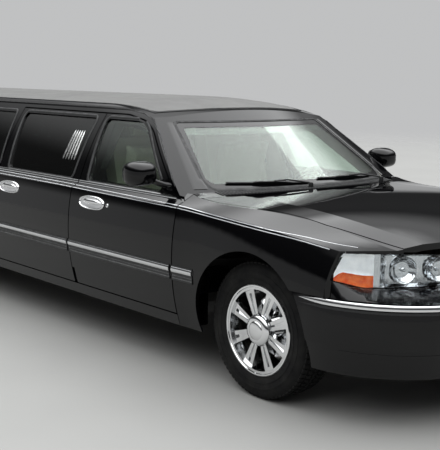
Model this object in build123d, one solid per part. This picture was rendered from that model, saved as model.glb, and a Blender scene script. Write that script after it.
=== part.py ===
from build123d import *
import os
from collections import namedtuple

os.makedirs("parts", exist_ok=True)

# A stretch limousine on a separate ladder frame, rear-wheel drive, in millimetres.
# +X points to the nose, +Y to the car's left, +Z up. The origin is on the ground under the middle of its length.
# Side tables count X from the nearer axle, as a coachbuilder's drawing does.

# Driving dimensions
stretch = 3048
base_wheelbase = 2990
front_overhang = 1060
rear_overhang = 1421
half_width = 993
tyre_radius = 351
tyre_width = 225
front_track = 1590
rear_track = 1630
sill_bottom_z = 262
widest_z = 590
belt_z = 943
roof_z = 1462

wheelbase = base_wheelbase + stretch
overall_length = wheelbase + front_overhang + rear_overhang
front_axle_x = overall_length / 2 - front_overhang
rear_axle_x = front_axle_x - wheelbase
axle_z = tyre_radius

# Walls, shut lines and clearances
door_wall = 110
frame_wall = 50
jamb_gap = 10
pillar_wall = 60
roof_wall = 35
panel = 30
shut_gap = 8
door_lip = 8
door_relief = 22
glass_inset = 12
glass_thickness = 6
running_clearance = 0.1
play = 0.4
reach = 1300

# Half sections of the lower body at right angles to X, from the sill up to the crown
Row = namedtuple("Row", "x sill widest crease crease_z seam seam_z ridge ridge_z crown_z")
cabin_row = Row(0, 930, half_width, 958, 915, 850, 972, 650, 977, 985)
cowl_x = -573
join_x = 200
front_rows = [
    cabin_row._replace(x=cowl_x),
    Row(0, 930, 993, 950, 890, 800, 938, 635, 957, 972),
    Row(300, 925, 985, 935, 862, 745, 905, 615, 930, 952),
    Row(560, 905, 962, 905, 830, 690, 850, 560, 882, 912),
    Row(820, 880, 930, 860, 795, 620, 812, 530, 832, 856),
]
rear_rows = [
    cabin_row._replace(x=join_x),
    Row(-200, 930, 992, 952, 922, 790, 985, 604, 994, 1006),
    Row(-600, 920, 980, 935, 924, 740, 984, 566, 994, 1008),
    Row(-1000, 895, 950, 905, 915, 700, 968, 536, 978, 992),
    Row(-1420, 850, 900, 860, 885, 640, 925, 490, 936, 950),
]

# Greenhouse: its side leans in from the belt to the roof rail, then a crowned roof
belt_half = 905
side_bulge = (797, 1180)
rail_half, rail_z = 664, 1385
rail_bulge = (643, 1411)
roof_edge_half, roof_edge_z = 600, 1420
roof_split_z = rail_z + 10
header_half = 560
firewall_top_z = 900

# The two screens: straight in side view, bowed in plan
bow_half = 900
screen_foot_x, screen_foot_z, screen_bow, screen_run = -455, 980, 200, 1.52
back_foot_x, back_foot_z, back_bow, back_run = -420, 1000, 110, 1.15
screen_wall = 60

# Nose and tail are arcs in plan; each bumper has its own
nose_x, nose_corner_x, nose_half = 805, 505, 960
tail_x, tail_corner_x, tail_half = -1372, -1130, 900
bumper_top_z = 621
tail_wall = 40


def front(x):
    return front_axle_x + x


def rear(x):
    return rear_axle_x + x


def block(xs, ys, zs):
    size = Box(xs[1] - xs[0], ys[1] - ys[0], zs[1] - zs[0])
    return Pos((xs[0] + xs[1]) / 2, (ys[0] + ys[1]) / 2, (zs[0] + zs[1]) / 2) * size


def rod(a, b, radius):
    """A round bar from point a to point b."""
    run = Vector(*b) - Vector(*a)
    return Plane(origin=a, z_dir=run.normalized()) * Cylinder(
        radius, run.length, align=(Align.CENTER, Align.CENTER, Align.MIN)
    )


def both(solid):
    return [solid, mirror(solid, about=Plane.XZ)]


def section(x, points, vias, crown_z):
    """A closed face across the body at x: half-profile points from the foot up, joined by lines, or by arcs
    where vias gives a point to pass through, mirrored, with the crown's arc on top."""
    steps = list(zip(points, points[1:], vias))
    edges = []
    for side, run in ((1, steps), (-1, [(b, a, via) for a, b, via in reversed(steps)])):
        for a, b, via in run:
            start, end = (x, side * a[0], a[1]), (x, side * b[0], b[1])
            if via:
                edges.append(ThreePointArc(start, (x, side * via[0], via[1]), end))
            else:
                edges.append(Line(start, end))
        if side == 1:
            top = points[-1]
            edges.append(ThreePointArc((x, top[0], top[1]), (x, 0, crown_z), (x, -top[0], top[1])))
    foot = points[0]
    edges.append(Line((x, -foot[0], foot[1]), (x, foot[0], foot[1])))
    return Face(Wire(edges))


def body_section(row, x, inset=0):
    """The lower body at one station. A hollow's section is drawn in by inset and runs out below."""
    foot_z = sill_bottom_z - (80 if inset else 0)
    points = [
        (row.sill - inset, foot_z),
        (row.crease - inset, row.crease_z - inset / 2),
        (row.seam - inset / 2, row.seam_z - inset),
        (row.ridge, row.ridge_z - inset),
    ]
    return section(x, points, [(row.widest - inset, widest_z), None, None], row.crown_z - inset)


def body_loft(rows, place, inset=0):
    return loft([body_section(row, place(row.x), inset) for row in rows])


def run_along(face, length):
    return extrude(face, amount=length, dir=(1, 0, 0))


def cabin_block(inset=0):
    """The constant middle of the body, door sills to belt."""
    x0, x1 = rear(join_x), front(cowl_x)
    return run_along(body_section(cabin_row, x0, inset), x1 - x0)


def screen_block(foot_x, foot_z, bow, run, nose):
    """Everything behind a screen's surface (nose = 1 the windscreen, -1 the rear window)."""
    low, high, depth = 100, 1600, 12000
    tip = foot_x + nose * run * (foot_z - low)
    edge = tip - nose * bow
    back = tip - nose * depth
    outline = Wire(
        [
            ThreePointArc((edge, -bow_half, low), (tip, 0, low), (edge, bow_half, low)),
            Line((edge, bow_half, low), (edge, reach, low)),
            Line((edge, reach, low), (back, reach, low)),
            Line((back, reach, low), (back, -reach, low)),
            Line((back, -reach, low), (edge, -reach, low)),
            Line((edge, -reach, low), (edge, -bow_half, low)),
        ]
    )
    slope = Vector(-nose * run, 0, 1)
    return extrude(Face(outline), amount=(high - low) * slope.length, dir=slope.normalized())


def behind_windscreen(setback):
    return screen_block(front(screen_foot_x) - setback, screen_foot_z, screen_bow, screen_run, 1)


def ahead_of_rear_window(setback):
    return screen_block(rear(back_foot_x) + setback, back_foot_z, back_bow, back_run, -1)


# The roof's crown runs level over the cabin and turns down towards each screen
crown_ends = (rear(650), front(-1700))
crown_turn_radius, crown_turn = 2800, 20
crown_depth = roof_z - roof_edge_z
crown_radius = (roof_edge_half**2 + crown_depth**2) / (2 * crown_depth)


def under_crown():
    x0, x1 = crown_ends
    crown = Pos(0, roof_z - crown_radius) * Circle(crown_radius) & Pos(0, roof_z) * Rectangle(2 * reach, 900)
    face = (Plane.YZ.offset(x0) * crown).face()
    whole = run_along(face, x1 - x0)
    for x, forward in ((x0, -1), (x1, 1)):
        turn_axis = Axis((x, 0, roof_z - crown_turn_radius), (0, forward, 0))
        whole += revolve(Pos(x - x0, 0, 0) * face, axis=turn_axis, revolution_arc=crown_turn)
    return whole


def roof_band(half):
    return block((rear(-400), front(-800)), (-half, half), (rail_z - 90, roof_z + 100))


above_crown = roof_band(reach) - under_crown()
above_lining = roof_band(header_half) - Pos(0, 0, -roof_wall) * under_crown()


def greenhouse(inset=0):
    """Belt to roof, between the two screens."""
    x0, x1 = rear(-800), front(-300)
    points = [
        (belt_half - inset, belt_z),
        (rail_half - inset, rail_z),
        (roof_edge_half - inset, roof_edge_z - inset / 2),
    ]
    vias = [(side_bulge[0] - inset, side_bulge[1]), (rail_bulge[0] - inset, rail_bulge[1] - inset / 4)]
    long_block = run_along(section(x0, points, vias, roof_z + 20 - inset), x1 - x0)
    return (long_block & behind_windscreen(inset) & ahead_of_rear_window(inset)) - Pos(0, 0, -inset) * above_crown


def cabin_void(lower_half, upper_inset, setback):
    """The space inside the cabin walls, flat-sided like the trim panels that line it."""
    x0, x1 = rear(-800), front(-480)
    points = [
        (lower_half, 150),
        (lower_half, belt_z - 20),
        (belt_half - upper_inset, belt_z),
        (rail_half - upper_inset, rail_z),
        (roof_edge_half - upper_inset, roof_edge_z - roof_wall),
    ]
    void = run_along(section(x0, points, [None] * 4, roof_z - roof_wall), x1 - x0)
    return (void & behind_windscreen(setback) & ahead_of_rear_window(setback)) - above_lining


def side_prism(sketch):
    """An outline drawn in side view, pushed out through the car's left side."""
    return extrude(Plane.XZ * sketch, amount=reach, dir=(0, 1, 0))


def plan_prism(sketch, zs):
    return extrude(Pos(0, 0, zs[0]) * sketch, amount=zs[1] - zs[0], dir=(0, 0, 1))


def front_view_prism(points, radius, xs):
    sketch = fillet(Polygon(*points, align=None).vertices(), radius)
    return extrude(Plane.YZ.offset(xs[0]) * sketch, amount=xs[1] - xs[0], dir=(1, 0, 0))


def grown(sketch, amount):
    return offset(sketch, amount=amount, kind=Kind.INTERSECTION)


# Door outlines in side view. Seams lean back slightly from the sill up.
door_low_z = 330
door_top_z = rail_z - 23
Seam = namedtuple("Seam", "low top")
b_seam = Seam(front(-1585), front(-1635))
c_seam = Seam(front(-2605), front(-2655))
d_seam = Seam(rear(1405), rear(1355))
rear_door_edge = 300
rear_door_lean = 90
brow_radius = 300
arch_radius = 405
arch_flange = 55
wheelhouse_half = 655


def rounded(outline, corner, radius):
    """Rounds one corner of an outline."""
    return fillet(outline.vertices().sort_by_distance(corner)[0], radius)


def front_door_outline():
    brow = [(front(-1080), 1283), (front(-1200), 1334), (front(-1400), door_top_z)]
    points = [
        (front(cowl_x), door_low_z),
        (front(cowl_x), belt_z - 5),
        (front(-694), 984),
        *brow,
        (b_seam.top, door_top_z),
        (b_seam.low, door_low_z),
    ]
    outline = Polygon(*points, align=None)
    for corner in brow:
        outline = rounded(outline, corner, brow_radius)
    return outline


def middle_door_outline():
    points = [
        (b_seam.low, door_low_z),
        (b_seam.top, door_top_z),
        (c_seam.top, door_top_z),
        (c_seam.low, door_low_z),
    ]
    return Polygon(*points, align=None)


def rear_door_outline():
    points = [
        (d_seam.low, door_low_z),
        (d_seam.top, door_top_z),
        (rear(rear_door_edge + rear_door_lean), door_top_z),
        (rear(rear_door_edge), belt_z),
        (rear(rear_door_edge), door_low_z),
    ]
    wheel_cut = Pos(rear(0), axle_z) * Circle(arch_radius + arch_flange)
    return Polygon(*points, align=None) - wheel_cut


# Windows in side view: bottom front, top front, top rear, bottom rear, and the radius of the top front corner
sill_z, glass_top_z = 966, 1330
corner_radius = 28
Window = namedtuple("Window", "low_front top_front top_rear low_rear brow")
windows = {
    "front": Window(front(-752), front(-1195), front(-1600), front(-1520), 260),
    "middle": Window(front(-1712), front(-1712), front(-2600), front(-2505), corner_radius),
    "fixed_a": Window(front(-2650), front(-2735), front(-3615), front(-3615), corner_radius),
    "fixed_b": Window(front(-3705), front(-3705), front(-4585), front(-4560), corner_radius),
    "rear": Window(rear(1290), rear(1290), rear(455), rear(375), corner_radius),
}


def window_outline(name):
    w = windows[name]
    points = [(w.low_front, sill_z), (w.top_front, glass_top_z), (w.top_rear, glass_top_z), (w.low_rear, sill_z)]
    outline = Polygon(*points, align=None)
    for corner, radius in zip(points, (corner_radius, w.brow, corner_radius, corner_radius)):
        outline = rounded(outline, corner, radius)
    return outline


def arch_space(x):
    """Clear space round a left wheel, from the inner wheelhouse wall out through the side."""
    return Pos(x, (wheelhouse_half + reach) / 2, axle_z) * Rot(90, 0, 0) * Cylinder(
        arch_radius, reach - wheelhouse_half
    )


body_out = cabin_block() + greenhouse()
lip_space = cabin_block(door_lip) + greenhouse(door_lip)
past_screens = -300
door_void = cabin_void(half_width - door_wall, frame_wall, past_screens)
jamb_void = cabin_void(half_width - door_wall - jamb_gap, frame_wall + jamb_gap, past_screens)
pillar_inner = half_width - door_wall - jamb_gap - pillar_wall
pillar_void = cabin_void(pillar_inner, frame_wall + jamb_gap + pillar_wall - 10, screen_wall)
left_half = block((rear(join_x), front(cowl_x)), (header_half, reach), (sill_bottom_z, roof_split_z))
glass_band = greenhouse(glass_inset) - greenhouse(glass_inset + glass_thickness)

# Left-hand versions are modelled; the right-hand ones are their mirror image.
door_outlines = {
    "front": front_door_outline(),
    "middle": middle_door_outline(),
    "rear": rear_door_outline(),
}


def make_door(name):
    outline = grown(door_outlines[name], -shut_gap / 2)
    opening = side_prism(outline)
    door = (body_out & opening) - door_void
    rear_strip = (opening - Pos(door_relief, 0, 0) * side_prism(outline)) & lip_space
    return door - rear_strip - side_prism(window_outline(name))


def make_door_glass(name):
    return glass_band & side_prism(window_outline(name))


nodes = {}


def keep(name, *solids):
    """Writes one or more solids as one node."""
    flat = [s for solid in solids for s in solid.solids()]
    nodes[name] = flat[0] if len(flat) == 1 else Compound(children=flat)


def left_right(name, solid):
    keep(name + "_left", solid)
    keep(name + "_right", mirror(solid, about=Plane.XZ))


# Doors: full-thickness, with the frame round each window
for name in ("front", "rear"):
    left_right(f"door_{name}", make_door(name))
    left_right(f"glass_{name}", make_door_glass(name))
keep("door_middle_right", mirror(make_door("middle"), about=Plane.XZ))
keep("glass_middle_right", mirror(make_door_glass("middle"), about=Plane.XZ))

# Openings of the two screens, seen from the front
screen_glass_z = (975, 1335)
screen_halves = (740, 600)
back_glass_z = (1015, 1335)
back_halves = (690, 560)
screen_corner = 45


def screen_outline(halves, zs):
    return [(-halves[0], zs[0]), (-halves[1], zs[1]), (halves[1], zs[1]), (halves[0], zs[0])]


screen_view = screen_outline(screen_halves, screen_glass_z)
screen_opening = front_view_prism(screen_view, screen_corner, (front(-1400), front(0)))
back_opening = front_view_prism(screen_outline(back_halves, back_glass_z), screen_corner, (rear(-800), rear(300)))

# Body sides: sill, pillars, roof rail and the fixed panels of the stretched middle
jamb = 80


def body_side(door_names, window_names):
    side = (body_out & left_half) - pillar_void
    for name in door_names:
        outline = door_outlines[name]
        side -= side_prism(grown(outline, shut_gap / 2)) - jamb_void
        side -= side_prism(grown(outline, -jamb))
    for name in window_names:
        side -= side_prism(window_outline(name))
    return side - arch_space(rear(0)) - screen_opening


def bare_middle(x0, x1):
    """Takes the inner pillar layer off a stretch of fixed side, between its pillars."""
    return block((x0, x1), (0, reach), (door_low_z + jamb, rail_z - jamb)) & door_void


left_windows = ("middle", "fixed_a", "fixed_b")
right_windows = ("fixed_a", "fixed_b")
posts = (c_seam.low, front(-3660))
side_left = body_side(("front", "rear"), left_windows)
side_right = body_side(("front", "middle", "rear"), right_windows)
bay_a = bare_middle(posts[1] + 60, posts[0] - 90)
bay_b = bare_middle(d_seam.low + 90, posts[1] - 60)
bay_c = bare_middle(posts[0] + 60, b_seam.top - 90)
post_zs = (sill_bottom_z + 8, firewall_top_z - 5)
hinge_post = block((front(cowl_x) - 2, front(-480)), (pillar_inner, half_width - door_wall - jamb_gap), post_zs)
side_left = side_left - bay_a - bay_b - bay_c + hinge_post
side_right = side_right - bay_a - bay_b + hinge_post
keep("body_side_left", side_left)
keep("body_side_right", mirror(side_right, about=Plane.XZ))

# Fixed glass: the side windows that don't open, then the two screens
fixed_left = [glass_band & side_prism(window_outline(n)) for n in left_windows]
fixed_right = [mirror(glass_band & side_prism(window_outline(n)), about=Plane.XZ) for n in right_windows]
keep("glass_fixed", *fixed_left, *fixed_right)

screen_band = (behind_windscreen(10) - behind_windscreen(24)) & screen_opening
back_band = (ahead_of_rear_window(10) - ahead_of_rear_window(24)) & back_opening
keep("windscreen", screen_band)
keep("rear_window", back_band)

# Roof panel with its two headers
roof_zone = block((rear(-800), front(0)), (-reach, reach), (roof_split_z, roof_z + 50))
front_header = block((front(-1400), front(0)), (-header_half, header_half), (screen_glass_z[0] + 200, roof_split_z))
rear_header = block((rear(-800), rear(join_x + 300)), (-header_half, header_half), (1200, roof_split_z))
roof_blank = greenhouse() & (roof_zone + front_header + rear_header)
keep("roof_panel", roof_blank - pillar_void - screen_opening - back_opening)


# Nose and tail: vertical walls that are arcs in plan, and everything inboard of them
def inside_arc(tip_x, corner_x, half, back_x, zs=(200, 1300)):
    outline = Wire(
        [
            ThreePointArc((corner_x, -half, 0), (tip_x, 0, 0), (corner_x, half, 0)),
            Line((corner_x, half, 0), (corner_x, reach, 0)),
            Line((corner_x, reach, 0), (back_x, reach, 0)),
            Line((back_x, reach, 0), (back_x, -reach, 0)),
            Line((back_x, -reach, 0), (corner_x, -reach, 0)),
            Line((corner_x, -reach, 0), (corner_x, -half, 0)),
        ]
    )
    return plan_prism(Face(outline), zs)


def behind_nose(setback):
    return inside_arc(front(nose_x) - setback, front(nose_corner_x) - setback, nose_half, front(cowl_x) - 1)


def ahead_of_tail(setback):
    return inside_arc(rear(tail_x) + setback, rear(tail_corner_x) + setback, tail_half, rear(join_x) + 600)


# Bonnet outline in plan, bounded behind by an arc that follows the windscreen's foot
hood_rear_x, hood_rear_centre_x = -505, -360
hood_seam = [(-505, 846), (300, 741), (760, 606), (900, 560)]


def hood_outline(grow):
    left = [(front(x), y + grow) for x, y in hood_seam]
    left[0] = (left[0][0] - grow, left[0][1])
    right = [(x, -y) for x, y in reversed(left)]
    rear_edge = ThreePointArc(right[-1], (front(hood_rear_centre_x) - grow, 0), left[0])
    around = left + right
    return Face(Wire([rear_edge] + [Line(a, b) for a, b in zip(around, around[1:])]))


hood_zs = (640, 1100)
hood_space = plan_prism(hood_outline(shut_gap / 2), hood_zs)
front_out = body_loft(front_rows, front)
front_in = body_loft(front_rows, front, panel)
front_shell = front_out - front_in
hood = front_shell & plan_prism(hood_outline(-shut_gap / 2), hood_zs) & behind_nose(shut_gap)

# Cowl: the panel between bonnet and windscreen, with the plenum wall that stands on the firewall
firewall_x = (front(-500), front(-480))
cowl_half = hood_seam[0][1] - shut_gap / 2
cowl_zs = (firewall_top_z, 1100)
cowl_front_x = front(hood_rear_x) - shut_gap / 2
cowl_zone = block((front(cowl_x), cowl_front_x), (-cowl_half, cowl_half), cowl_zs)
cowl_zone += block((cowl_front_x, front(hood_rear_centre_x) + 20), (-780, 780), cowl_zs)
cowl_zone += block((front(-700), front(cowl_x)), (-header_half, header_half), cowl_zs)
cowl = ((front_out + body_out) & cowl_zone) - front_in - pillar_void - screen_opening - hood_space
plenum = block(firewall_x, (-pillar_inner, pillar_inner), (firewall_top_z, 1000)) & front_in
plenum -= behind_windscreen(0)
keep("cowl_panel", cowl + plenum)

# Headlamps follow the nose arc, from the grille out to the corner
lamp_depth = 60
lamp_low_z, lamp_in_z, lamp_out_z = 650, 794, 828
lamp_in_y = 310
lamp_front_view = [(lamp_in_y, lamp_low_z), (lamp_in_y, lamp_in_z), (1000, lamp_out_z + 2), (1000, 716)]
lamp_front_view += [(960, 704), (807, 660), (511, lamp_low_z)]
lamp_side_view = [(518, 704), (548, 850), (900, 850), (900, 600), (512, 600)]
lamp_side_view = rounded(Polygon(*[(front(x), z) for x, z in lamp_side_view], align=None), (front(518), 704), 60)
lamp_zone = run_along(Plane.YZ.offset(front(nose_corner_x)) * Polygon(*lamp_front_view, align=None), 500)
lamp_zone = (lamp_zone & side_prism(lamp_side_view)) - behind_nose(lamp_depth)
headlamp = (front_out & behind_nose(0)) & lamp_zone
keep("headlamps", *both(headlamp))
for zone in both(Pos(0, 0, shut_gap) * lamp_zone):
    hood -= zone
keep("hood", hood)

# Front wings: outer skin, splash shield over the wheel, and the inner apron that ties nose to firewall
shield_wall = 12
shield_in_y = 570
apron_z = (680, 795)
wing_zone = block((front(cowl_x) + shut_gap / 2, front(1000)), (0, reach), (sill_bottom_z, 1100))
wing = (front_shell & wing_zone & behind_nose(0)) - hood_space - cowl_zone
nose_wall = (front_out & behind_nose(0)) - behind_nose(40)
nose_wall &= block((front(0), front(1000)), (lamp_in_y - 10, reach), (bumper_top_z, lamp_low_z))
shelf_top_z = axle_z + arch_radius + shield_wall + 25
shelf = block((firewall_x[1], front(430)), (shield_in_y, reach), (shelf_top_z - 20, shelf_top_z)) & front_in
apron = block((firewall_x[1], front(680)), (shield_in_y - 20, shield_in_y), (apron_z[0], shelf_top_z))


def wheel_drum(radius, y0, y1, x):
    return Pos(x, (y0 + y1) / 2, axle_z) * Rot(90, 0, 0) * Cylinder(radius, y1 - y0)


shield = wheel_drum(arch_radius + shield_wall, shield_in_y, reach, front(0)) & front_in
shield &= block((front(-500), front(500)), (0, reach), (axle_z + 120, 900))
wing = wing + nose_wall + shelf + shield - wheel_drum(arch_radius, 480, reach, front(0))
wing = wing + apron - lamp_zone
wing -= block((front(250), front(1000)), (0, reach), (0, bumper_top_z))
left_right("wing", wing)

# Grille: a bright surround with upright bars, standing on the bumper's top
grille_half, grille_top_z, grille_frame = 296, 812, 20
grille_x = (front(765), front(828))
grille_outer = [
    (-grille_half, bumper_top_z),
    (-grille_half + 12, grille_top_z),
    (grille_half - 12, grille_top_z),
    (grille_half, bumper_top_z),
]
surround = front_view_prism(grille_outer, 18, grille_x)
inner = [(y * (1 - grille_frame / grille_half), z) for y, z in grille_outer]
inner = [(y, z + grille_frame if z == bumper_top_z else z - grille_frame) for y, z in inner]
grille = surround - front_view_prism(inner, 10, grille_x)
bar_count, bar_width = 17, 9
bar_pitch = 2 * (grille_half - grille_frame) / (bar_count + 1)
for n in range(bar_count):
    y = (n - (bar_count - 1) / 2) * bar_pitch
    grille += block(
        (grille_x[0] + 12, grille_x[1] - 14),
        (y - bar_width / 2, y + bar_width / 2),
        (bumper_top_z + grille_frame - 2, grille_top_z - grille_frame + 2),
    )
keep("grille", grille)

# Bumpers: a bowed cover over a smooth upper band and a valance that tucks in below the crease
Bumper = namedtuple("Bumper", "start start_y side side_y bend bend_y corner corner_y tip")
front_bumper = Bumper(250, 985, 380, 975, 692, 886, 912, 654, front_overhang)
rear_bumper = Bumper(-540, 985, -900, 958, -1230, 850, -1340, 610, -rear_overhang)


def bumper_plan(b, place, z, inset):
    toward = 1 if b.tip > 0 else -1
    half = [
        (place(b.start), b.start_y - inset),
        (place(b.side), b.side_y - inset),
        (place(b.bend) - toward * inset * 0.7, b.bend_y - inset * 0.7),
        (place(b.corner) - toward * inset, b.corner_y - inset * 0.3),
    ]
    a, s, bend, c = [Vector(x, y, z) for x, y in half]
    ra, rs, rbend, rc = [Vector(x, -y, z) for x, y in half]
    tip = Vector(place(b.tip) - toward * inset, 0, z)
    edges = [Line(a, s), ThreePointArc(s, bend, c), ThreePointArc(c, tip, rc)]
    edges += [ThreePointArc(rc, rbend, rs), Line(rs, ra), Line(ra, a)]
    return Face(Wire(edges))


def bumper_cover(b, place, crease_z, bottom_z):
    upper_levels = ((bumper_top_z, 14), (540, 0), (crease_z, 5))
    upper = loft([bumper_plan(b, place, z, inset) for z, inset in upper_levels])
    lower = loft([bumper_plan(b, place, z, i) for z, i in ((crease_z, 9), (bottom_z, 58))], ruled=True)
    return upper + lower


def hollowed(cover, b, place, bottom_z):
    inset = 100
    face = bumper_plan(b, place, bottom_z - 20, inset)
    return cover - extrude(face, amount=575 - bottom_z + 20, dir=(0, 0, 1))


cover = bumper_cover(front_bumper, front, 405, sill_bottom_z)
bumper = hollowed(cover, front_bumper, front, sill_bottom_z)
bumper -= behind_nose(60) & block((front(0), front(900)), (-860, 860), (500, 700))
intake_half, intake_z = 430, (296, 384)
bumper -= block((front(850), front(1100)), (-intake_half, intake_half), intake_z)
for z in (314, 336, 358):
    slat = cover & block((front(905), front(1100)), (-intake_half - 5, intake_half + 5), (z, z + 8))
    bumper += slat
rail_ys = (365, 435)
rail_end_x = front(890)
for solid in both(block((rail_end_x, front(975)), rail_ys, (370, 460)) & cover):
    bumper += solid
for drum in both(wheel_drum(arch_radius, 480, reach, front(0))):
    bumper -= drum
keep("bumper_front", bumper)

rear_rail_ys = (480, 560)
rear_rail_end_x = rear(-1230)
rear_bottom_z = 300
cover = bumper_cover(rear_bumper, rear, 420, rear_bottom_z)
bumper = hollowed(cover, rear_bumper, rear, rear_bottom_z)
bumper -= ahead_of_tail(tail_wall + 6) & block((rear(-1400), rear(-300)), (-860, 860), (500, 700))
for solid in both(block((rear(-1345), rear_rail_end_x), rear_rail_ys, (480, 570)) & cover):
    bumper += solid
keep("bumper_rear", bumper)

# Rear quarters, with the wide rear roof pillars, wheelhouses and tail corners
quarter_wall = 40
rear_out = body_loft(rear_rows, rear)
rear_in = body_loft(rear_rows, rear, quarter_wall)
rear_solid = rear_out & ahead_of_tail(0)
rear_shell = rear_solid - (rear_in & ahead_of_tail(tail_wall))
lid_front_x, lid_half, lid_edge_z = -545, 640, 888
face_half, lid_low_z = 455, 640


def lid_zone(grow):
    top = block(
        (rear(-1500), rear(lid_front_x) + grow),
        (-lid_half - grow, lid_half + grow),
        (lid_edge_z - grow, 1100),
    )
    face = block((rear(-1500), rear(-1000)), (-face_half - grow, face_half + grow), (lid_low_z - grow, 1100))
    return top + face


lid = rear_shell & lid_zone(-shut_gap / 2)
plate_x, plate_z = rear(tail_x) - 3, 765
plate_spacing, plate_hole_radius = (178, 121), 3.5
lid += block((plate_x, rear(tail_x) + tail_wall), (-165, 165), (plate_z - 88, plate_z + 88))
for y in (-plate_spacing[0] / 2, plate_spacing[0] / 2):
    for z in (plate_z - plate_spacing[1] / 2, plate_z + plate_spacing[1] / 2):
        lid -= rod((plate_x - 5, y, z), (plate_x + 20, y, z), plate_hole_radius)
keep("boot_lid", lid)

tail_lamp_zone = block((rear(-1500), rear(-1080)), (face_half + 16, reach), (684, 878))
tail_lamp_zone = tail_lamp_zone - ahead_of_tail(60)
keep("tail_lamps", *both(rear_solid & tail_lamp_zone))

quarter_zone = block((rear(-1500), rear(join_x)), (header_half, reach), (sill_bottom_z, roof_split_z))
quarter_zone += block((rear(-1500), rear(-1000)), (face_half + shut_gap / 2, reach), (bumper_top_z, lid_edge_z))
pillar_zone = block((rear(-800), rear(join_x)), (header_half, reach), (belt_z - 1, roof_split_z))
quarter = (rear_shell & quarter_zone) + ((greenhouse() & pillar_zone) - pillar_void - back_opening)
quarter = quarter - (pillar_void & block((rear(-800), rear(join_x)), (0, reach), (1040, rail_z)))
tub_outer = wheel_drum(arch_radius + 15, wheelhouse_half - 15, reach, rear(0)) & rear_in
tub_outer &= block((rear(-500), rear(join_x)), (0, reach), (axle_z + 110, 900))
quarter = quarter + tub_outer - lid_zone(shut_gap / 2) - tail_lamp_zone
quarter -= block((rear(-1500), rear(rear_bumper.start)), (0, reach), (0, bumper_top_z))
quarter -= arch_space(rear(0))
left_right("quarter", quarter)

# Rear deck between window and boot lid, which is the parcel shelf inside
deck = rear_shell & block((rear(lid_front_x) + shut_gap, rear(120)), (-header_half, header_half), (900, 1100))
keep("rear_deck", deck - lid_zone(shut_gap / 2))


# Ladder frame: each side rail is where its plan outline and its side outline meet
mid_rail_ys = (640, 720)
mid_rail_zs = (285, 395)
front_rail_zs = (360, 470)
rear_rail_zs = (470, 580)
floor_z = mid_rail_zs[1]
floor_sheet = 15
boot_floor_z = rear_rail_zs[1]
kick_up_x = rear(480)


def rail_outline(stations):
    """Both edges of a rail through (x, (low, high)) stations, as one closed outline."""
    low = [(x, edges[0]) for x, edges in stations]
    high = [(x, edges[1]) for x, edges in reversed(stations)]
    return Polygon(*low, *high, align=None)


rail_plan = rail_outline(
    [
        (rear_rail_end_x, rear_rail_ys),
        (rear(430), rear_rail_ys),
        (rear(700), mid_rail_ys),
        (front(-700), mid_rail_ys),
        (front(-420), rail_ys),
        (rail_end_x, rail_ys),
    ]
)
rail_side = rail_outline(
    [
        (rear_rail_end_x, rear_rail_zs),
        (rear(300), rear_rail_zs),
        (rear(462), mid_rail_zs),
        (front(-476), mid_rail_zs),
        (front(-300), front_rail_zs),
        (rail_end_x, front_rail_zs),
    ]
)
rail = plan_prism(rail_plan, (200, 700)) & side_prism(rail_side)
tie_down_radius, tie_down_depth = 13, 60
tie_down_xs = (front(-1000), rear(900))
tie_down_y = sum(mid_rail_ys) / 2
for x in tie_down_xs:
    foot, head = (x, tie_down_y, mid_rail_zs[0] - 5), (x, tie_down_y, mid_rail_zs[0] + tie_down_depth)
    rail -= rod(foot, head, tie_down_radius)
left_right("frame_rail", rail)

# Cross-members between the rails; three of them carry the shaft's centre bearings
cross_zs = (345, mid_rail_zs[1])
shaft_z, shaft_radius = 300, 40
shaft_stations = (front(-1600), front(-3060), front(-4500))
cross_half = rail_ys[1]
Cross = namedtuple("Cross", "x0 x1 half low high")
crosses = [
    Cross(front(-150), front(150), cross_half, 250, front_rail_zs[0]),
    Cross(front(640), front(715), rail_ys[0], front_rail_zs[0], front_rail_zs[0] + 60),
    Cross(rear(700), rear(780), mid_rail_ys[0], *cross_zs),
    Cross(rear(-1040), rear(-970), rear_rail_ys[0], rear_rail_zs[0], boot_floor_z),
]
cross_members = [block((c.x0, c.x1), (-c.half, c.half), (c.low, c.high)) for c in crosses]
for x in shaft_stations:
    member = block((x - 40, x + 40), (-mid_rail_ys[0], mid_rail_ys[0]), cross_zs)
    member += block((x - 20, x + 20), (-65, 65), (shaft_z - 55, cross_zs[0]))
    cross_members.append(member - rod((x - 30, 0, shaft_z), (x + 30, 0, shaft_z), shaft_radius))
keep("cross_members", *cross_members)

# Floor: firewall, cabin floor on the rails, a step up under the rear seat, boot floor and back panel
floor = block((kick_up_x, firewall_x[0]), (-pillar_inner, pillar_inner), (floor_z, floor_z + floor_sheet))
step_half = wheelhouse_half - 15
floor += block((kick_up_x - floor_sheet, kick_up_x), (-step_half, step_half), (floor_z, boot_floor_z + floor_sheet))
boot_floor = block((rear(-1330), kick_up_x), (-step_half, step_half), (boot_floor_z, boot_floor_z + floor_sheet))
boot_floor += block((rear(-1330), rear(-445)), (-780, 780), (boot_floor_z, boot_floor_z + floor_sheet))
floor += boot_floor & ahead_of_tail(tail_wall + 12)
floor += block(firewall_x, (-pillar_inner, pillar_inner), (floor_z, firewall_top_z))
panel_top_z = 700
back_panel = block((rear(-1300), rear(-1282)), (-640, 640), (boot_floor_z + floor_sheet, panel_top_z))
keep("floor_pan", floor + (back_panel & ahead_of_tail(tail_wall + 12)))

# Engine with its gearbox as one plain mass, the radiator ahead of it
engine = block((front(-430), front(330)), (-260, 260), (front_rail_zs[0], 740))
engine += block((front(-760), front(-330)), (-150, 150), (shaft_z - 40, 385))
keep("engine_block", engine)
radiator_z = (front_rail_zs[0] + 60, 770)
keep("radiator", block((front(655), front(700)), (-330, 330), radiator_z))

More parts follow.
